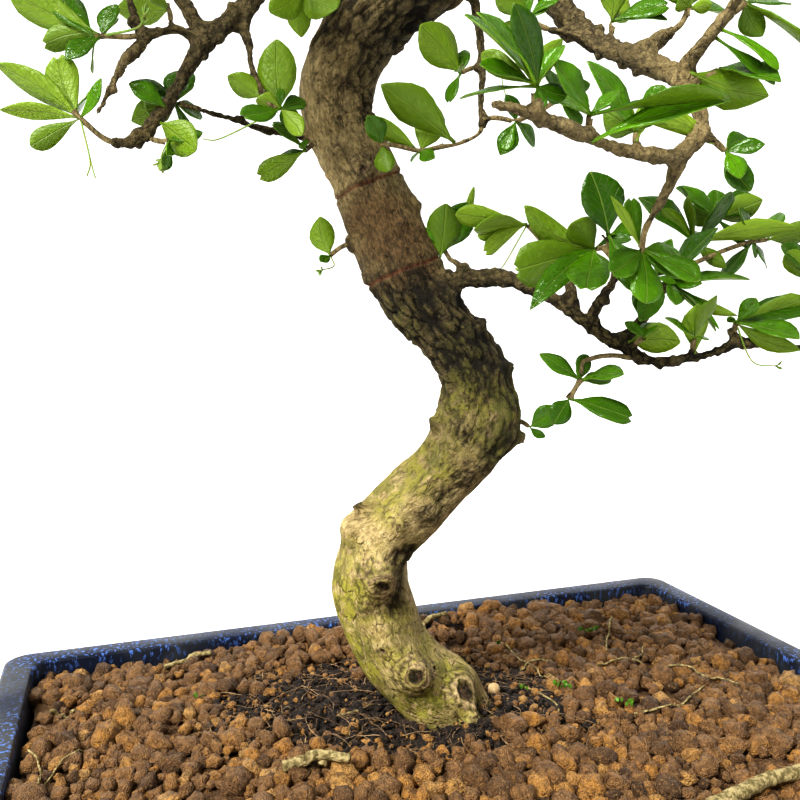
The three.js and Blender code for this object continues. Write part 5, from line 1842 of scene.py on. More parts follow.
@dataclass
class Trunk:
    """The trunk with its branches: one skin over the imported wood, roughened into bark."""

    voxel: float = 0.88 * MM
    swell: float = 0.35 * MM
    sides: int = 16
    limb_rough: float = 0.70
    limb_weather: float = 0.60
    big_knot_mm: float = 6.0
    # Centre line of the trunk in the tree's axes: x, y, z and radius
    line_mm: tuple[tuple[float, float, float, float], ...] = (
        (14, 14, 54, 9), (8, 14, 74, 15), (-7, 14, 96, 16), (-20, 14, 109, 16.5),
        (-32, 15, 123, 16.4), (-39, 17, 138, 15.8), (-41, 18, 152, 15.6), (-37, 17, 167, 15),
        (-26, 13, 182, 14.2), (-14, 9, 195, 13.7), (-4, 7, 207, 15), (2, 6, 219, 15.7),
        (2, 7, 231, 13.1), (-3, 9, 243, 12.6), (-13, 12, 255, 13.2), (-24, 14, 268, 13.7),
        (-31, 15, 282, 13.7), (-37, 16, 298, 13.5), (-45, 17, 316, 13.2), (-52, 18, 332, 13.2),
        (-54, 17, 345, 13.9), (-50, 14, 358, 14.1), (-41, 10, 370, 14.4), (-28, 5, 379, 13.8),
        (-12, 0, 385, 12.2), (5, -4, 393, 10), (13, -4, 407, 8.6), (7, 2, 425, 7.5),
        (-6, 8, 442, 6.4), (-12, 12, 459, 5.2), (-9, 12, 476, 4), (-4, 10, 490, 3),
    )
    # Pixel, radius, lip and hollow in millimetres, and for one knot how wide its heart is
    knots: tuple[Knot, ...] = tuple(Knot(*row) for row in (
        (381, 580, 8.6, 2.4, 1.0), (363, 604, 3.4, 0.7, 2.0), (416, 675, 8.2, 2.4, 0.8),
        (466, 691, 9.0, 2.0, 1.6, 0.44), (440, 665, 2.6, 0.4, 1.2), (383, 650, 2.6, 0.9, 1.2),
        (404, 553, 4.2, 0.4, 3.4), (400, 525, 2.4, 0.8, 0.8), (424, 511, 2.0, 0.8, 0.8),
        (471, 401, 2.2, 0.6, 1.0), (448, 399, 1.8, 0.4, 0.8), (510, 394, 2.6, 0.5, 0.9),
        (464, 434, 2.8, 0.7, 1.3), (439, 462, 1.4, 0.3, 0.6), (340, 118, 3.0, 0.8, 0.8),
        (364, 168, 5.0, 1.2, 0.7), (464, 462, 1.6, 0.6, 0.5), (343, 84, 2.2, 0.5, 0.6),
        (336, 146, 1.6, 0.4, 0.5), (408, 269, 2.0, 0.4, 0.8),
    ))
    # Pixel, radius in millimetres and strength, under the mark that the patches show
    patches: tuple[Patch, ...] = tuple(Patch(mark, *row) for mark, rows in (
        (Mark.ALGAE, (
            (343, 600, 13, 1), (346, 560, 10, 0.7), (352, 650, 14, 1), (385, 700, 13, 0.9),
            (425, 695, 10, 1), (455, 672, 9, 0.9), (470, 705, 7, 0.7), (400, 620, 8, 0.6),
            (385, 492, 11, 0.8), (420, 465, 12, 0.9), (450, 440, 9, 0.5), (505, 405, 13, 0.9),
            (465, 390, 9, 0.8), (490, 430, 10, 0.7), (402, 320, 9, 0.5), (460, 350, 9, 0.5),
            (440, 415, 8, 0.7), (365, 575, 9, 0.8), (430, 640, 8, 0.7), (400, 660, 9, 0.6),
        )),
        # Dark, rough crust; the row of patches down the trunk's right edge, from pixel 402, 585 up
        # to 508, 445, also paints the shade of that side
        (Mark.DARK, (
            (402, 585, 5, 0.9), (428, 515, 5, 0.55), (446, 498, 5, 0.5), (466, 480, 5, 0.5),
            (488, 462, 5, 0.55), (508, 445, 6, 0.9), (512, 400, 6, 0.8), (510, 380, 6, 0.7),
            (474, 700, 5, 0.6), (455, 395, 6, 0.5), (340, 80, 16, 0.35), (350, 150, 15, 0.35),
            (480, 340, 8, 0.8), (495, 360, 8, 0.5), (420, 290, 8, 0.8), (440, 330, 9, 0.9),
            (425, 318, 15, 0.9), (465, 350, 13, 0.8), (395, 292, 8, 0.7), (340, 15, 13, 0.8),
            (375, 60, 11, 0.8), (372, 112, 8, 0.8), (420, 20, 16, 1.0), (405, 560, 7, 0.9),
            (398, 600, 6, 0.8), (420, 520, 8, 0.3), (500, 440, 9, 0.6), (505, 365, 9, 0.4),
            (460, 430, 6, 0.5), (362, 172, 5, 0.5), (440, 290, 9, 0.6),
        )),
        (Mark.RED, (
            (385, 235, 16, 0.9), (405, 262, 11, 0.8), (490, 385, 6, 0.4),
        )),
    ) for row in rows)
    # Pixel, radius and height in millimetres
    swells: tuple[Swell, ...] = tuple(Swell(*row) for row in (
        (356, 526, 7, 6.6), (352, 541, 5, 1.8), (411, 568, 10, -2.2), (430, 632, 10, -3.0),
        (449, 656, 10, -2.2), (381, 568, 8, 3.6), (376, 579, 7, 1.6), (384, 606, 6, -1.6),
        (420, 452, 9, -3.4), (399, 477, 8, -2.6), (434, 431, 5, -3.0), (446, 402, 9, 1.8),
        (458, 384, 6, -2.2), (440, 432, 8, 1.2), (512, 412, 8, 1.5), (512, 438, 5, 1.5),
        (506, 385, 5, -1.2), (404, 552, 5, -1.8), (393, 586, 7, 2.0), (398, 566, 6, 1.6),
        (366, 604, 6, 0.8), (417, 674, 10, 1.6), (468, 692, 9, 1.8), (446, 690, 6, -1.4),
        (430, 512, 6, 1.0), (450, 492, 5, -0.8), (486, 462, 5, 0.9), (470, 390, 8, 1.2),
        (494, 430, 9, 0.8), (345, 205, 7, 0.8), (490, 699, 9, -4.6), (499, 708, 8, -4.0),
        (480, 326, 2.6, 2.6), (507, 366, 2.6, 2.6), (402, 222, 2.2, 2.2), (503, 432, 3, 1.8),
        (434, 514, 3, 1.2), (392, 285, 8, 0.9), (470, 330, 7, 1.0), (310, 95, 8, 0.8),
    ))
    wires_px: tuple[tuple[float, float, float, float], ...] = (
        (340, 196, 378, 177), (381, 279, 412, 266),
    )
    # Heights in millimetres, how rough the bark is there, and how far it is darkened towards the
    # weathered tone: partly weathering, partly painted shade of the crown over the upper trunk
    rough_by_height: tuple[tuple[float, ...], tuple[float, ...]] = (
        (150, 185, 200, 225, 232, 240, 266, 275, 286, 311, 320, 350, 375, 385),
        (0.05, 0.10, 0.24, 0.32, 0.6, 1.0, 1.0, 0.45, 0.22, 0.18, 0.12, 0.16, 0.45, 0.65))
    weather_and_shade_by_height: tuple[tuple[float, ...], tuple[float, ...]] = (
        (150, 183, 205, 225, 240, 268, 280, 315, 340),
        (0.0, 0.12, 0.50, 0.62, 1.0, 0.95, 0.58, 0.38, 0.44))

    def skin(self) -> bpy.types.Object:
        """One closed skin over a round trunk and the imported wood.

        Returns:
            The skin.
        """
        wood = copy_of("trunk", "bark")
        with editing(wood):
            bpy.ops.mesh.tris_convert_to_quads()
        apply(wood, "SUBSURF", levels=2, render_levels=2)
        apply(wood, "DISPLACE", strength=self.swell, mid_level=0)
        line = smooth_line(np.array(self.line_mm), 6)
        curve = bpy.data.curves.new("trunk_line", "CURVE")
        curve.dimensions = "3D"
        curve.bevel_depth = 1.0
        curve.bevel_resolution = self.sides
        curve.use_fill_caps = True
        spline = curve.splines.new("POLY")
        spline.points.add(len(line) - 1)
        places = TREE.place(line[:, :3])
        spline.points.foreach_set("co", np.column_stack([places, np.ones(len(line))]).ravel())
        spline.points.foreach_set("radius", line[:, 3] * MM)
        pick(new_object("round_trunk", curve))
        bpy.ops.object.convert(target="MESH")
        unite(wood, [bpy.context.object])
        apply(wood, "REMESH", mode="VOXEL", voxel_size=self.voxel)
        return wood

    def along(self, points: np.ndarray) -> tuple[np.ndarray, np.ndarray, np.ndarray]:
        """Where points lie about the trunk's centre line.

        Args:
            points: Rows of x, y, z in the part's frame.

        Returns:
            For each point, a place rolled out along the trunk, how far it is from the centre
            line as a share of the radius, and the radius.
        """
        line = smooth_line(np.array(self.line_mm), 16)
        places = TREE.place(line[:, :3])
        steps = np.linalg.norm(np.diff(places, axis=0), axis=1)
        length = np.concatenate([[0], np.cumsum(steps)])
        way = np.gradient(places, axis=0)
        way /= np.linalg.norm(way, axis=1)[:, None]
        first = np.zeros_like(way)
        normal = TREE.way(np.array([0.0, -1.0, 0.01]))
        for index, tangent in enumerate(way):
            normal = unit(normal - tangent * (normal @ tangent))
            first[index] = normal
        second = np.cross(first, way)
        tree = KDTree(len(places))
        for index, place in enumerate(places.tolist()):
            tree.insert(place, index)
        tree.balance()
        near = np.array([tree.find(p)[1] for p in points.tolist()])
        off = points - places[near]
        radius = line[near, 3] * MM
        cos = np.einsum("ij,ij->i", off, first[near])
        sin = np.einsum("ij,ij->i", off, second[near])
        reach = np.hypot(cos, sin) + 1e-9
        spot = length[near] + np.einsum("ij,ij->i", off, way[near])
        rolled = np.column_stack([cos / reach * radius, sin / reach * radius, spot])
        return rolled, np.linalg.norm(off, axis=1) / radius, radius

    def rolled_flutes(self, rolled: np.ndarray) -> np.ndarray:
        """The flutes round the girth.

        Args:
            rolled: Places rolled out along the trunk.

        Returns:
            How far each is raised, as a share of the radius.
        """
        angle = np.arctan2(rolled[:, 1], rolled[:, 0])
        place = rolled[:, 2] / rolled[:, 2].max()
        return (0.05 * np.sin(3 * angle + 9 * place) + 0.035 * np.sin(5 * angle - 23 * place)
                + 0.03 * np.sin(2 * angle + 61 * place))

    def lumps(self, survey: Survey, trunk: np.ndarray, rough: np.ndarray) -> np.ndarray:
        """The lumps and nubs of the wood, and how far its limbs are drawn in.

        Args:
            survey: The bark.
            trunk: 1 for each vertex on the trunk and 0 on a limb.
            rough: How rough each is.

        Returns:
            How far each moves out, in metres.
        """
        points, limb = survey.points, 1 - trunk
        nubs = np.array([noise.voronoi(Vector(p))[0][0] for p in (points / 0.0105).tolist()])
        lift = 0.8 * MM * (noise_at(points, 0.016, 1) + limb * noise_at(points, 0.009, 11))
        lift += (0.32 + 0.5 * rough) * trunk * MM * (1 - smoothstep(0.08, 0.40, nubs))
        lift += 1.5 * MM * limb * (1 - smoothstep(0.06, 0.30, nubs))
        return lift - limb * np.minimum(0.14 * survey.thickness(), 1.3 * MM)

    def carve(self, bark: bpy.types.Object) -> np.ndarray:
        """Shapes flutes, lumps, fissures, knots and wire marks, and notes what each place shows,
        painted shade included.

        Args:
            bark: The skin.

        Returns:
            0 for each vertex on the trunk and 1 on a limb.
        """
        survey = Survey.of(bark)
        points = survey.points
        rolled, share, radius = self.along(points)
        trunk = 1 - smoothstep(1.12, 1.35, share)
        limb = 1 - trunk
        on_trunk = trunk[:, None] > 0.5
        marks = self.marks(survey)
        # The bark's bands by height are fainter and more ragged on the back
        back = trunk * smoothstep(-0.2, 0.7, survey.facing(0, 1, 0))
        level = points[:, 2] / MM + 20 * back * noise_at(points, 0.020, 8)
        by_height = np.interp(level, *self.rough_by_height) * (1 - 0.45 * back)
        # Limbs that reach forward are younger, so they are smoother and paler
        ahead = -(points - TREE.centre()) @ TREE.way(np.array([0.0, 1.0, 0.0]))
        old = 1 - 0.45 * limb * smoothstep(0.02, 0.07, ahead)
        rough = np.maximum(marks[Mark.DARK], by_height)
        rough = np.maximum(rough, self.limb_rough * limb) * old
        crack = self.fissures(np.where(on_trunk, rolled * (1, 1, 0.40), points), 0.0040)
        crack *= smoothstep(0.10, 0.55, rough)
        stretched = np.where(on_trunk, rolled, points) * (1, 1, 0.36)
        fine = (0.22 + 0.55 * rough * trunk) * MM * noise_at(points, 0.0056, 2)
        fine += 0.62 * rough * trunk * MM * noise_at(stretched, 0.0048, 12)
        fine += (0.20 + 0.60 * rough) * MM * noise_at(stretched, 0.0021, 4)
        fine -= (0.40 + 0.75 * trunk) * MM * crack
        wound, knots, callus, calm = self.cut_knots(survey)
        fine *= 1 - 0.8 * calm
        wire, groove = self.cut_wires(survey)
        lift = trunk * radius * self.rolled_flutes(rolled) + fine + groove * MM
        lift += self.lumps(survey, trunk, rough)
        moved = points + survey.normals * lift[:, None] + (knots + self.swell_out(survey)) * MM
        put_points(bark, moved)
        # Painted shade: the low spots of the fine relief and the fissures are darkened through the
        # cavity attribute; the fissures' dark is partly their own colour
        recess_shade = smoothstep(0.25, 1.0, -fine / MM) * (0.25 + 0.75 * rough)
        # Painted shade: the limbs' undersides are darkened through the dark attribute, on top of
        # their rough crust
        below = smoothstep(-0.1, 0.9, -survey.normals[:, 2]) * limb
        dark = rough * (0.75 + 0.5 * noise_at(points, 0.02, 6)) + 0.40 * below
        # Painted shade: the side that faces right, down and away from the key light is darkened
        # towards the weathered tone
        right = smoothstep(-0.3, 0.8, survey.facing(0.9, -0.2, -0.3))
        # Weathering and painted shade: the trunk darkens upwards from its lit foot, as in the
        # crown's shadow
        upper_shade_and_weather = np.interp(level, *self.weather_and_shade_by_height) * (1 - 0.35 * back)
        weather_and_shade = np.clip(0.30 * right + upper_shade_and_weather, 0, 1)
        shown = {
            "cavity": np.maximum(recess_shade, 0.9 * crack * rough) * (1 - 0.8 * calm),
            "bark_place": np.where(on_trunk, rolled, points * (1, 1, 2.1)),
            "wound": wound,
            "callus": callus,
            "wire": wire,
            "algae": marks[Mark.ALGAE],
            "red": marks[Mark.RED],
            "dark": np.clip(dark * (1 - 0.6 * calm), 0, 1),
            "weather_and_shade": weather_and_shade * trunk + self.limb_weather * limb * old,
        }
        for name, values in shown.items():
            put_values(bark, name, values)
        return limb

    def fissures(self, places: np.ndarray, size: float) -> np.ndarray:
        """Cracks between plates of bark.

        Args:
            places: Rows of x, y, z.
            size: How wide a plate is.

        Returns:
            For each place, 1 in a crack and 0 on a plate.
        """
        warp = np.stack([noise_at(places, size * 0.7, 30 + axis) for axis in range(3)], 1)
        rows = (places / size + 0.38 * warp).tolist()
        near = np.array([noise.voronoi(Vector(row))[0][:2] for row in rows])
        return 1 - smoothstep(0.03, 0.26, near[:, 1] - near[:, 0])

    def marks(self, survey: Survey) -> dict[Mark, np.ndarray]:
        """How strongly each mark shows at each vertex.

        Args:
            survey: The bark.

        Returns:
            A share from 0 to 1 for each mark and vertex.
        """
        points = survey.points
        found = {mark: np.zeros(len(points)) for mark in Mark}
        ragged = noise_at(points, 0.009, 5)
        for patch, spot in survey.spots(self.patches):
            gap = survey.gaps(spot) / (patch.radius_mm * MM)
            share = patch.strength * (1 - smoothstep(0.5, 1.6, gap + 0.45 * ragged))
            found[patch.mark] = np.maximum(found[patch.mark], share)
        low = (1 - smoothstep(0.10, 0.16, points[:, 2])) * smoothstep(-0.2, 0.5, ragged)
        faint = 0.24 * smoothstep(-0.1, 0.5, noise_at(points, 0.025, 7))
        faint *= 1 - smoothstep(0.24, 0.27, points[:, 2])
        found[Mark.ALGAE] = np.maximum(found[Mark.ALGAE], np.maximum(0.6 * low, faint))
        return found

    def cut_knots(self, survey: Survey) -> tuple[np.ndarray, np.ndarray, np.ndarray, np.ndarray]:
        """The rings and hollows of the knots.

        Args:
            survey: The bark.

        Returns:
            How much of a wound each vertex is, how far it moves in millimetres, how much pale
            callus it shows, and how much of it lies on a big knot.
        """
        points = survey.points
        wound, callus, cover = np.zeros((3, len(points)))
        move = np.zeros((len(points), 3))
        for index, (knot, spot) in enumerate(survey.spots(self.knots)):
            gap = survey.gaps(spot) / (knot.radius_mm * MM)
            near = gap < 2.2
            gap = gap[near] + 0.16 * noise_at(points[near], 0.0025, index)
            dome = 1 - smoothstep(0.55, 1.25, gap)
            rings = 0.5 + 0.5 * np.cos(gap * 3.1 * math.tau)
            inner = 1 - smoothstep(knot.heart - 0.06, knot.heart + 0.06, gap)
            out = knot.lip_mm * dome * (0.72 + 0.28 * rings) - knot.hollow_mm * inner
            move[near] += out[:, None] * common_way(survey.normals[near], dome)
            groove = (1 - smoothstep(0.0, 0.45, rings)) * (1 - smoothstep(1.1, 1.5, gap))
            wound[near] = np.maximum(wound[near], np.maximum(0.95 * inner, 0.7 * groove))
            if knot.radius_mm > self.big_knot_mm:
                ring = np.exp(-((gap - knot.heart - 0.20) / 0.10) ** 2)
                callus[near] = np.maximum(callus[near], 0.75 * ring)
                cover[near] = np.maximum(cover[near], dome)
        return wound, move, callus, cover

    def swell_out(self, survey: Survey) -> np.ndarray:
        """How far bulges and dents move each vertex.

        Args:
            survey: The bark.

        Returns:
            Rows of x, y, z in millimetres.
        """
        move = np.zeros((len(survey.points), 3))
        for swell, spot in survey.spots(self.swells):
            share = np.exp(-(survey.gaps(spot) / (swell.radius_mm * MM)) ** 2)
            move += swell.height_mm * share[:, None] * common_way(survey.normals, share)
        return move

    def cut_wires(self, survey: Survey) -> tuple[np.ndarray, np.ndarray]:
        """The grooves that training wire has left round the trunk.

        Args:
            survey: The bark.

        Returns:
            How red each vertex is, and how far it moves out, in millimetres.
        """
        red, move = np.zeros((2, len(survey.points)))
        line = TREE.place(np.array(self.line_mm)[:, :3])
        for u_from, v_from, u_to, v_to in self.wires_px:
            start = EYE.hit(survey.faces, u_from, v_from)
            end = EYE.hit(survey.faces, u_to, v_to)
            middle = np.array((start + end) / 2)
            across = unit(np.array(end - start))
            nearest = int(np.argmin(np.linalg.norm(line - middle, axis=1)))
            way = unit(line[nearest + 1] - line[nearest - 1])
            off = (survey.points - middle) @ unit(way - across * (way @ across))
            off = off + 0.5 * MM * noise_at(survey.points, 0.008, 9)
            near = survey.gaps(line[nearest]) < 0.030
            cut = np.exp(-(off / (0.55 * MM)) ** 2) * near
            lip = np.exp(-((np.abs(off) - 1.7 * MM) / (0.8 * MM)) ** 2) * near
            red = np.maximum(red, cut)
            move += 0.35 * lip - 0.75 * cut
        return red, move

    def build(self, finishes: Finishes) -> BVHTree:
        """Makes the bark and splits off the branches.

        Args:
            finishes: The materials.

        Returns:
            The skin, for what grows out of it.
        """
        bark = self.skin()
        limb = self.carve(bark)
        smooth(bark)
        bark.data.materials.append(finishes.bark)
        skin = tree_of(bark)
        corners = np.empty(len(bark.data.polygons) * 4, int)
        bark.data.polygons.foreach_get("vertices", corners)
        on_limb = limb[corners.reshape(-1, 4)].mean(axis=1) > 0.9
        with editing(bark, whole=False):
            bpy.ops.mesh.select_mode(type="FACE")
        bark.data.polygons.foreach_set("select", on_limb)
        with editing(bark, whole=False):
            bpy.ops.mesh.separate(type="SELECTED")
        branches = next(o for o in bpy.context.selected_objects if o != bark)
        bark.name = "trunk_bark"
        branches.name = "branch_bark"
        dress(bark, Slot.BARK, "trunk")
        dress(branches, Slot.BARK, "trunk")
        return skin


# Leaves


@dataclass(frozen=True)
class Blade:
    """Where one packed leaf lies, in the part's frame."""

    base: np.ndarray
    along: np.ndarray
    up: np.ndarray
    length: float
    width: float
    arch: float = 0.13


@dataclass
class SprayReader:
    """Finds the leaves in a packed spray: thin blades with two or three level rows on them."""

    thick: float = 0.7 * MM
    slack: float = 0.004 * MM
    # Place along the leaf of the last row but one, by how many rows there are
    near_tip: dict[int, float] = field(default_factory=lambda: {2: 0.6, 3: 0.76})

    def blade_points(self, mesh: bmesh.types.BMesh) -> list[set[bmesh.types.BMVert]]:
        """The vertices of each blade.

        Args:
            mesh: The merged spray.

        Returns:
            A set of vertices for each blade.
        """
        thin = {vert for edge in mesh.edges
                if abs(edge.calc_length() - self.thick) < self.slack for vert in edge.verts}
        blades = []
        while thin:
            blade, waiting = set(), [thin.pop()]
            while waiting:
                vert = waiting.pop()
                blade.add(vert)
                for edge in vert.link_edges:
                    other = edge.other_vert(vert)
                    if other in thin:
                        thin.discard(other)
                        waiting.append(other)
            blades.append(blade)
        return blades

    def levels(self, blade: set[bmesh.types.BMVert]) -> list[list[bmesh.types.BMVert]]:
        """The rows of a blade, from its stem on.

        Args:
            blade: The blade's vertices.

        Returns:
            The rows, each with the mesh's last vertex first, so that every run reads them alike.
        """
        left = set(blade)
        row = [v for v in blade if any(e.other_vert(v) not in blade for e in v.link_edges)]
        rows = []
        while row:
            rows.append(sorted(row, key=lambda vert: -vert.index))
            left -= set(row)
            row = [v for v in left if any(e.other_vert(v) in rows[-1] for e in v.link_edges)]
        return rows

    def ends(self, row: list[bmesh.types.BMVert]) -> tuple[np.ndarray, np.ndarray, np.ndarray]:
        """The middle of a row's left and right edge, and the way through its thickness.

        Args:
            row: The row's four vertices.

        Returns:
            Two middles and a unit vector.
        """
        first = row[0]
        mate = min(row[1:], key=lambda v: abs((v.co - first.co).length - self.thick))
        rest = [v for v in row if v not in (first, mate)]
        through = unit(np.array(mate.co - first.co))
        return (np.array((first.co + mate.co) / 2), np.array((rest[0].co + rest[1].co) / 2),
                through)

    def blade(self, rows: list[list[bmesh.types.BMVert]]) -> Blade:
        """Works a blade out from its last two rows.

        Args:
            rows: Its rows.

        Returns:
            The blade.
        """
        near = self.near_tip[len(rows)]
        left, right, through = self.ends(rows[-2])
        tip_left, tip_right, _ = self.ends(rows[-1])
        middle, tip = (left + right) / 2, (tip_left + tip_right) / 2
        step = tip - middle
        curl = -through * (step @ through) / (1 - near ** 2)
        along = (step + curl * (1 - near ** 2)) / (1 - near)
        base = middle - along * near + curl * near ** 2
        return Blade(base, unit(along), unit(curl), float(np.linalg.norm(along)),
                     float(np.linalg.norm(right - left)))

    def read(self, node: str) -> tuple[list[Blade], bpy.types.Object]:
        """Reads a spray's leaves and keeps its bare stems.

        Args:
            node: The spray's name.

        Returns:
            The leaves and an object of the stems.
        """
        stems = copy_of(node, node + "_stems")
        mesh = bmesh.new()
        mesh.from_mesh(stems.data)
        mesh.verts.index_update()
        leaves = []
        spent = []
        for blade in self.blade_points(mesh):
            rows = self.levels(blade)
            if len(rows) not in self.near_tip or any(len(row) != 4 for row in rows):
                LOG.warning("%s: a blade of rows %s is left out", node, [len(r) for r in rows])
                continue
            leaves.append(self.blade(rows))
            spent += [vert for row in rows for vert in row]
        bmesh.ops.delete(mesh, geom=spent, context="VERTS")
        open_edges = [edge for edge in mesh.edges if edge.is_boundary]
        bmesh.ops.holes_fill(mesh, edges=open_edges, sides=0)
        bmesh.ops.join_triangles(mesh, faces=mesh.faces, angle_face_threshold=0.7,
                                 angle_shape_threshold=1.2)
        mesh.to_mesh(stems.data)
        mesh.free()
        leaves.sort(key=lambda leaf: (*np.round(leaf.base, 4), *np.round(leaf.along, 3)))
        return leaves, stems


@dataclass
class LeafCutter:
    """Models the leaf forms and bends them into place."""

    # Rows of a leaf: place along it and half its width there as a share of the full width
    spoon_rows: tuple[tuple[float, float], ...] = (
        (0.0, 0.030), (0.08, 0.032), (0.20, 0.10), (0.35, 0.25), (0.50, 0.385), (0.65, 0.48),
        (0.78, 0.495), (0.89, 0.41), (0.965, 0.23), (1.0, 0.05))
    oval_rows: tuple[tuple[float, float], ...] = (
        (0.0, 0.035), (0.07, 0.04), (0.17, 0.17), (0.31, 0.36), (0.45, 0.47), (0.60, 0.50),
        (0.75, 0.44), (0.87, 0.31), (0.955, 0.15), (1.0, 0.03))
    lance_rows: tuple[tuple[float, float], ...] = (
        (0.0, 0.035), (0.08, 0.045), (0.20, 0.17), (0.34, 0.33), (0.48, 0.45), (0.62, 0.50),
        (0.76, 0.42), (0.88, 0.26), (0.96, 0.11), (1.0, 0.02))
    notched_rows: tuple[tuple[float, float], ...] = (
        (0.0, 0.030), (0.09, 0.034), (0.20, 0.12), (0.35, 0.29), (0.50, 0.42), (0.66, 0.49),
        (0.80, 0.49), (0.91, 0.42), (0.975, 0.28), (1.0, 0.13))
    across: int = 4
    thick: float = 0.022
    notch: float = 0.06
    # A leaf broader than this share of its length is an oval, and one longer than this a lance
    broad: float = 0.6
    long: float = 34 * MM

    def form(self, rows: tuple[tuple[float, float], ...], notch: float) -> Pattern:
        """Models one leaf form, a unit long along y.

        Args:
            rows: Its rows.
            notch: How far the middle of the tip is drawn back.

        Returns:
            The form.
        """
        leaf = fresh(bpy.ops.mesh.primitive_grid_add, x_subdivisions=self.across,
                     y_subdivisions=len(rows) - 1, size=1)
        points = points_of(leaf)
        row_of = np.rint((points[:, 1] + 0.5) * (len(rows) - 1)).astype(int)
        spread = points[:, 0] * 2
        table = np.array(rows)
        points[:, 1] = table[row_of, 0]
        points[:, 0] = spread * table[row_of, 1]
        last = row_of == len(rows) - 1
        points[last, 1] -= notch * (1 - np.abs(spread[last])) - 0.5 * notch
        put_points(leaf, points)
        apply(leaf, "SOLIDIFY", thickness=self.thick, offset=0)
        return Pattern.taken_from(leaf)

    def __post_init__(self) -> None:
        """Models the forms. The lance is listed twice, so that it is drawn more often."""
        self.oval = self.form(self.oval_rows, 0)
        self.lance = self.form(self.lance_rows, 0)
        self.notched = self.form(self.notched_rows, self.notch)
        self.forms = [self.form(self.spoon_rows, 0), self.oval, self.notched, self.lance,
                      self.lance]

    def bend(self, blade: Blade, draws: np.random.Generator, copies: Copies,
             tint: float) -> None:
        """Lays one leaf on a blade.

        Args:
            blade: Where it lies.
            draws: The random draws.
            copies: What it is added to.
            tint: Its own shade.
        """
        slim = blade.width / blade.length
        form = self.forms[draws.integers(len(self.forms))]
        if slim > self.broad:
            form = self.oval
        elif blade.length > self.long and form is not self.notched:
            form = self.lance
        x, y, z = form.points.T
        side = np.cross(blade.along, blade.up)
        twist = draws.normal(0, 0.16) * y
        keel = (0.10 + 0.22 * draws.random()) * np.abs(x) * (1 + 0.4 * draws.normal())
        ripple = 0.018 * np.sin(y * 9 + draws.random() * 6) * x * 2
        rise = keel * blade.width - blade.arch * blade.length * y ** 2 + ripple * blade.length
        stalk = 1 + 1.6 * (1 - smoothstep(0.0, 0.2, y))
        across = x * blade.width
        rise = rise + z * stalk * 18 * MM
        sway = 0.05 * draws.normal() * blade.length * np.sin(y * math.pi)
        points = (blade.base + np.outer(y * blade.length, blade.along)
                  + np.outer(across * np.cos(twist) + sway, side)
                  + np.outer(rise + across * np.sin(twist), blade.up))
        copies.add(form, points, tint, (z < 0).astype(float))


@dataclass(frozen=True)
class SeenLeaf:
    """A leaf of the show side, placed by the pixels of its base and its tip."""

    base_px: tuple[float, float]
    tip_px: tuple[float, float]
    width_px: float
    near_mm: float
    top: bool
    tint: float
    arch: float = 0.12


@dataclass(frozen=True)
class SeenStalk:
    """A thin green stalk, placed by its pixels, with small leaves at its end."""

    line_px: tuple[tuple[float, float], ...]
    radius_mm: float
    tip_leaves: int = 0
    tip_mm: float = 2.5


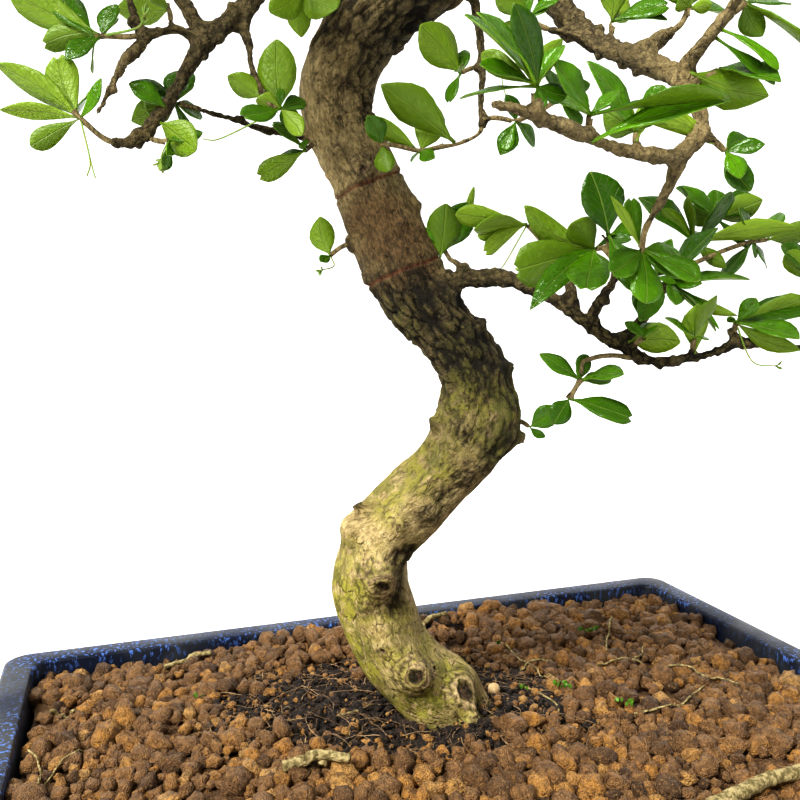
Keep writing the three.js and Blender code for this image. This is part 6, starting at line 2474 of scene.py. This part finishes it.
@dataclass
class ShowSide:
    """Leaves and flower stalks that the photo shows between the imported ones."""

    seed: int = 71
    reach_px: float = 7.0
    # Pixels of the base and the tip, width in pixels, how many millimetres nearer the tip is,
    # whether the leaf's top shows, tint and arch
    leaves: tuple[SeenLeaf, ...] = tuple(SeenLeaf(*row) for row in (
        ((533, 90), (478, 14), 23, 22, True, 0.95, 0.18),
        ((533, 90), (514, 4), 34, 12, True, 0.1, 0.1), ((533, 90), (480, 65), 19, 8, True, 0.4),
        ((534, 90), (562, 40), 22, -8, False, 0.4),
        ((581, 148), (553, 60), 29, 10, True, 0.75, 0.16),
        ((633, 140), (588, 62), 33, 8, True, 0.7, 0.16),
        ((592, 142), (719, 104), 21, 14, True, 1.0, 0.30),
        ((634, 142), (604, 112), 34, -6, False, 0.1), ((636, 142), (652, 100), 18, -4, False, 0.8),
        ((708, 146), (642, 110), 22, 6, False, 0.9, 0.2),
        ((690, 72), (768, 96), 42, 0, False, 0.25, 0.1),
        ((722, 30), (777, 68), 13, 5, True, 1.0, 0.25),
        ((716, 38), (774, 84), 15, 2, True, 0.3, 0.15),
        ((706, 150), (740, 178), 22, 4, True, 0.9, 0.2), ((616, 24), (667, 20), 18, 4, True, 0.2),
        ((687, 34), (680, -2), 20, 4, False, 0.8), ((697, 32), (712, 4), 14, 4, False, 0.9),
        ((738, 2), (762, 36), 26, -3, False, 0.0), ((518, 98), (482, 54), 24, -4, False, 0.3),
        ((500, 122), (504, 150), 16, 2, True, 0.9),
        ((608, 234), (590, 172), 44, 4, True, 0.0, 0.08),
        ((580, 234), (525, 206), 25, 3, False, 0.3), ((610, 252), (571, 224), 31, 8, False, 0.35),
        ((592, 256), (629, 240), 14, 8, True, 0.2, 0.35),
        ((592, 254), (518, 270), 45, 6, False, 0.1),
        ((596, 266), (534, 306), 27, 14, True, 0.3, 0.34),
        ((620, 252), (654, 300), 36, 16, True, 0.45, 0.12),
        ((628, 284), (640, 321), 24, 12, True, 0.4),
        ((530, 236), (457, 214), 23, 0, False, 0.95, 0.2),
        ((530, 242), (478, 236), 17, 2, False, 1.0), ((522, 262), (486, 252), 17, 3, False, 1.0),
        ((440, 258), (446, 204), 35, 6, False, 0.0), ((450, 212), (474, 187), 8, 3, False, 1.0),
        ((650, 226), (631, 200), 20, -4, True, 0.8), ((645, 232), (611, 196), 10, 6, False, 1.0),
        ((720, 218), (684, 187), 20, 4, True, 0.9, 0.2),
        ((720, 218), (714, 190), 22, -3, True, 0.4), ((722, 218), (762, 200), 28, 3, False, 0.5),
        ((718, 224), (686, 214), 28, -6, False, 0.2),
        ((720, 222), (747, 248), 12, 4, True, 0.3, 0.3),
        ((722, 248), (798, 228), 21, 3, False, 0.9, 0.18),
        ((700, 236), (664, 210), 14, 3, False, 0.2, 0.25),
        ((656, 242), (699, 280), 27, 8, True, 0.75, 0.14),
        ((642, 256), (682, 278), 20, 2, True, 0.35), ((704, 256), (726, 268), 15, 3, False, 0.2),
        ((672, 282), (718, 328), 9, 6, True, 0.9, 0.2),
        ((672, 292), (736, 315), 13, 4, False, 0.9, 0.2),
        ((695, 354), (698, 304), 26, 2, False, 0.7), ((628, 342), (680, 342), 34, 4, False, 0.6),
        ((727, 324), (800, 300), 23, 4, False, 0.4, 0.18),
        ((735, 360), (800, 350), 19, 3, False, 0.6), ((802, 282), (787, 252), 22, 2, False, 0.4),
        ((78, 114), (-4, 64), 27, 4, False, 0.7), ((76, 117), (0, 110), 19, 6, False, 0.95),
        ((76, 118), (31, 146), 22, 3, False, 0.25), ((84, 114), (58, 58), 33, 0, False, 0.75),
        ((106, 32), (14, -6), 34, 4, False, 0.6), ((104, 36), (45, 44), 25, 0, False, 0.3),
        ((104, 38), (66, 60), 24, 6, True, 0.2), ((288, 100), (277, 40), 40, 2, False, 0.35),
        ((262, 98), (228, 76), 24, 2, False, 0.5), ((292, 108), (256, 100), 18, 2, False, 0.7),
        ((160, 122), (196, 150), 36, 4, False, 0.5),
        ((166, 108), (130, 84), 22, 4, True, 0.5, 0.25),
        ((290, 148), (260, 176), 22, 2, False, 0.5), ((438, 256), (412, 216), 14, -4, False, 0.9),
        ((330, 255), (320, 217), 26, 0, False, 0.5),
        ((431, 146), (433, 102), 31, 0, False, 0.5, 0.08),
        ((410, 154), (369, 122), 20, 4, False, 0.6, 0.3),
        ((168, 100), (132, 121), 28, -3, False, 0.35), ((183, 108), (193, 78), 16, -4, True, 0.3),
        ((297, 132), (285, 105), 20, 3, True, 0.3), ((86, 107), (101, 79), 14, 4, True, 0.8, 0.15),
    ))
    # Pixels along the stalk, radius in millimetres, and its tip's leaves and their length
    stalks: tuple[SeenStalk, ...] = tuple(SeenStalk(*row) for row in (
        (((91, 143), (90, 160), (87, 176)), 0.32), (((91, 160), (93, 170), (96, 178)), 0.30),
        (((240, 135), (222, 138), (203, 139)), 0.30),
        (((347, 263), (334, 266), (322, 270)), 0.30, 5),
        (((592, 282), (568, 282), (545, 275), (524, 268)), 0.45, 3),
        (((609, 232), (604, 218), (597, 206)), 0.50, 2),
        (((520, 254), (507, 260), (500, 270)), 0.30, 5),
        (((504, 100), (504, 90), (502, 78)), 0.25, 2),
        (((163, 146), (162, 154), (161, 162)), 0.30, 5, 3.5),
        (((130, 40), (137, 28), (144, 16)), 0.45, 6, 4.0),
        (((735, 358), (752, 361), (776, 366)), 0.30, 3),
    ))

    def carrier(self, skin: BVHTree, seen: np.ndarray, bases: np.ndarray,
                spot_px: tuple[float, float]) -> np.ndarray:
        """What a leaf grows from: the bark under its base, or the nearest packed leaf's foot.

        Args:
            skin: The bark.
            seen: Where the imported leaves' feet are in the picture.
            bases: The same feet in the part's frame.
            spot_px: The pixel of the leaf's base.

        Returns:
            The point that it grows from.
        """
        gaps = np.hypot(seen[:, 0] - spot_px[0], seen[:, 1] - spot_px[1])
        near = int(np.argmin(gaps))
        spot = EYE.hit(skin, *spot_px)
        if spot is not None and gaps[near] > self.reach_px:
            return np.array(spot)
        return bases[near]

    def blade(self, leaf: SeenLeaf, base: np.ndarray) -> Blade:
        """Works out how a leaf lies.

        Args:
            leaf: The leaf.
            base: Where it grows from.

        Returns:
            The blade.
        """
        depth = EYE.seen(base[None])[0, 2]
        tip = EYE.at(*leaf.tip_px, depth - leaf.near_mm * MM)
        chord = tip - base
        length = float(np.linalg.norm(chord))
        facing = -EYE.ahead() * (1 if leaf.top else -1) + np.array([0.0, 0.0, 0.45])
        way = unit(chord)
        up = unit(facing - way * (facing @ way))
        along = chord + up * leaf.arch * length
        up = unit(up - unit(along) * (up @ unit(along)))
        return Blade(base, unit(along), up, length, leaf.width_px * depth / EYE.focal_px,
                     leaf.arch)

    def build(self, finishes: Finishes, cutter: LeafCutter, skin: BVHTree,
              bases: np.ndarray) -> None:
        """Makes the leaves and the stalks.

        Args:
            finishes: The materials.
            cutter: What bends the leaves.
            skin: The bark.
            bases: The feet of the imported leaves.
        """
        draws = np.random.default_rng(self.seed)
        seen = EYE.seen(bases)
        copies = Copies()
        for leaf in self.leaves:
            base = self.carrier(skin, seen, bases, leaf.base_px)
            cutter.bend(self.blade(leaf, base), draws, copies, leaf.tint)
        dress(copies.made("leaves_show_side", finishes.leaf), Slot.LEAF)
        strand = Strand(6)
        stems = Copies()
        for stalk in self.stalks:
            foot = self.carrier(skin, seen, bases, stalk.line_px[0])
            depth = EYE.seen(foot[None])[0, 2]
            places = [foot] + [EYE.at(u, v, depth - 1 * MM) for u, v in stalk.line_px[1:]]
            line = smooth_line(np.array(places), 5)
            stem = strand.tube(line, stalk.radius_mm * MM * np.linspace(1, 0.7, len(line)))
            stems.add(stem, stem.points, 0.5)
            for _ in range(stalk.tip_leaves):
                way = unit(unit(line[-1] - line[-3]) + draws.normal(0, 0.75, size=3))
                side = unit(np.cross(way, draws.normal(size=3)))
                size = stalk.tip_mm * MM * (0.7 + 0.5 * draws.random())
                blade = Blade(line[-1], way, np.cross(side, way), size, size * 0.35)
                cutter.bend(blade, draws, stems, 1.0)
        dress(stems.made("flower_stalks", finishes.stalk), Slot.LEAF)


@dataclass
class Foliage:
    """All sprays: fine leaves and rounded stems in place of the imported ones."""

    seed: int = 5
    reach_back: float = 2.4 * MM
    near_root: float = 0.9 * MM
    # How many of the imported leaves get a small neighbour, in the crown and below it
    crown_extras: float = 0.9
    low_extras: float = 0.4
    stem_dark: float = 0.55
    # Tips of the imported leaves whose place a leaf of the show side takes, and how near such a
    # tip has to lie
    reach_px: float = 2.5
    taken_px: tuple[tuple[float, float], ...] = (
        (787, 109), (585, 165), (617, 159), (516, 269), (569, 211), (563, 226), (610, 192),
        (471, 162), (534, 182), (472, 196), (457, 198), (683, 357),
        (575, 330), (557, 379), (307, 213), (432, 112), (322, 55), (279, 189),
        (216, 149), (-12, 135), (-2, 90), (19, 76), (66, 172), (-14, -12), (56, 75),
        (586, 30), (601, 43),
    )

    def is_taken(self, leaf: Blade) -> bool:
        """Tells whether a leaf of the show side takes this packed leaf's place."""
        u_px, v_px = EYE.seen((leaf.base + leaf.along * leaf.length)[None])[0][:2]
        return any(math.hypot(u_px - u, v_px - v) < self.reach_px for u, v in self.taken_px)

    def root_stems(self, stems: bpy.types.Object, wood: BVHTree) -> None:
        """Draws a stem's foot into what it grows from.

        Args:
            stems: The stems.
            wood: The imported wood.
        """
        for vert in stems.data.vertices:
            spot, _, _, gap = wood.find_nearest(vert.co)
            if spot is not None and gap < self.near_root:
                vert.co += (spot - vert.co).normalized() * self.reach_back

    def extras(self, leaves: list[Blade], draws: np.random.Generator, share: float) -> list[Blade]:
        """Small leaves that fill a spray out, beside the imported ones.

        Args:
            leaves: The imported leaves.
            draws: The random draws.
            share: How many of the leaves get such a neighbour.

        Returns:
            The extra leaves.
        """
        found = []
        for leaf in leaves:
            if draws.random() > share:
                continue
            turn = draws.choice([-1, 1]) * (0.7 + 0.7 * draws.random())
            along = turned_about(leaf.up, turn, leaf.along)
            side = np.cross(along, leaf.up)
            tip = draws.normal(0.25, 0.3)
            along = turned_about(side, tip, along)
            up = turned_about(side, tip, leaf.up)
            size = 0.40 + 0.45 * draws.random()
            found.append(Blade(leaf.base, along, up, leaf.length * size,
                               leaf.length * size * (0.42 + 0.16 * draws.random())))
        return found

    def build(self, finishes: Finishes, cutter: LeafCutter) -> np.ndarray:
        """Makes every spray.

        Args:
            finishes: The materials.
            cutter: What bends the leaves.

        Returns:
            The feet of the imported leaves.
        """
        reader = SprayReader()
        draws = np.random.default_rng(self.seed)
        wood = tree_of(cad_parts["trunk"])
        names = sorted(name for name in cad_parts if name.startswith("spray_"))
        total = 0
        feet = []
        for name in names:
            leaves, stems = reader.read(name)
            share = self.crown_extras
            if "crown" not in name:
                share = self.low_extras
                feet += [leaf.base for leaf in leaves]
                leaves = [leaf for leaf in leaves if not self.is_taken(leaf)]
            all_leaves = leaves + self.extras(leaves, draws, share)
            copies = Copies()
            spray_tint = 0.15 + 0.5 * draws.random()
            for leaf in all_leaves:
                tint = float(np.clip(spray_tint + draws.normal(0, 0.2), 0, 1))
                cutter.bend(leaf, draws, copies, tint)
            total += len(all_leaves)
            self.root_stems(stems, wood)
            apply(stems, "SUBSURF", levels=2, render_levels=2)
            smooth(stems)
            stems.data.materials.append(finishes.bark)
            points = points_of(stems)
            put_values(stems, "bark_place", points)
            put_values(stems, "dark", np.full(len(points), self.stem_dark))
            spray = copies.made(name.replace("spray", "leaves"), finishes.leaf)
            unite(spray, [stems])
            dress(spray, Slot.LEAF, name)
        LOG.info("%d leaves", total)
        return np.array(feet)


# The studio


@dataclass
class Studio:
    """A pale floor and soft light."""

    floor_size: float = 8.0
    floor: Rgb = (0.97, 0.97, 0.97)
    sky: Rgb = (1.0, 1.0, 1.0)
    room: Rgb = (0.30, 0.30, 0.31)
    exposure: float = 0.12

    def lamp(self, name: str, place_mm: Point, aim_mm: Point, size: float, power: float) -> None:
        """Adds one soft lamp.

        Args:
            name: Its name.
            place_mm: Where it is, in the tree's axes.
            aim_mm: What it faces.
            size: How wide it is.
            power: How strong it is, in watts.
        """
        data = bpy.data.lights.new(name, "AREA")
        data.shape = "SQUARE"
        data.size = size
        data.energy = power
        lamp = new_object(name, data)
        place, aim = Vector(TREE.place(place_mm)), Vector(TREE.place(aim_mm))
        lamp.location = place
        lamp.rotation_euler = (aim - place).to_track_quat("-Z", "Y").to_euler()

    def sun(self, way: Point, strength: float, angle: float) -> None:
        """Adds the wide, distant key light.

        Args:
            way: Where it stands as seen from the tree, in the tree's axes.
            strength: Its strength, in watts for a square metre.
            angle: How wide it looks, in degrees.
        """
        data = bpy.data.lights.new("key", "SUN")
        data.energy = strength
        data.angle = math.radians(angle)
        lamp = new_object("key", data)
        lamp.rotation_euler = Vector(-TREE.way(np.array(way))).to_track_quat("-Z", "Y").to_euler()

    def build(self) -> None:
        """Makes the floor, the sky and the lamps."""
        floor = fresh(bpy.ops.mesh.primitive_plane_add, size=self.floor_size)
        floor.name = "floor"
        paint = bpy.data.materials.new("pale_floor")
        paint.use_nodes = True
        Wiring(paint.node_tree).fill(paint.node_tree.nodes["Principled BSDF"],
                                     {"Base Color": (*self.floor, 1), "Roughness": 0.7})
        floor.data.materials.append(paint)
        floor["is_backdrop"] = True
        world = bpy.data.worlds.new("sky")
        world.use_nodes = True
        wires = Wiring(world.node_tree)
        back = TREE.way(np.array([0.0, 1.0, 0.0]))
        facing = wires.add("VectorMath", {0: wires.add("TexCoord").outputs["Generated"],
                                          1: tuple(back)}, operation="DOT_PRODUCT")
        share = wires.ranged(facing.outputs["Value"], -0.15, 0.45)
        wires.fill(world.node_tree.nodes["Background"],
                   {"Color": wires.mix(share, self.room, self.sky), "Strength": 1})
        bpy.context.scene.world = world
        view = bpy.context.scene.view_settings
        view.view_transform = "Standard"
        view.look = "High Contrast"
        view.exposure = self.exposure
        self.sun((-0.55, -0.62, 0.85), 3.6, 24)
        self.lamp("sparkle", (-150, -600, 900), (0, 0, 200), 0.22, 2.2)


def write_sizes() -> None:
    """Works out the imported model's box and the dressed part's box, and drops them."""
    boxes = {"cad": CAD_BOX, "visual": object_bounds()}
    {name: [list(corner) for corner in box] for name, box in boxes.items()}


def main() -> None:
    """Builds the camera, the part and the studio."""
    logging.basicConfig(level=logging.INFO, format="%(message)s")
    EYE.make()
    finishes = Finishes()
    Pot().build(finishes)
    Bed("akadama_soil", "clay_bed", Slot.CLAY, 4.0 * MM, 3.2 * MM,
        ((0.010, 0.8 * MM), (0.005, 0.5 * MM))).build(finishes.clay)
    peat = Bed("root_ball", "peat_ball", Slot.PEAT, 1.6 * MM, 0.0,
               ((0.012, 1.2 * MM), (0.004, 0.9 * MM), (0.0025, 0.5 * MM))).build(finishes.peat)
    soil = ClayGrains().build(finishes) + [tree_of(peat)]
    Crumbs().build(finishes)
    RootFibres().build(finishes)
    cutter = LeafCutter()
    Litter().build(finishes, cutter.oval, soil)
    skin = Trunk().build(finishes)
    feet = Foliage().build(finishes, cutter)
    ShowSide().build(finishes, cutter, skin, feet)
    Studio().build()
    write_sizes()


if __name__ == "__main__":
    main()
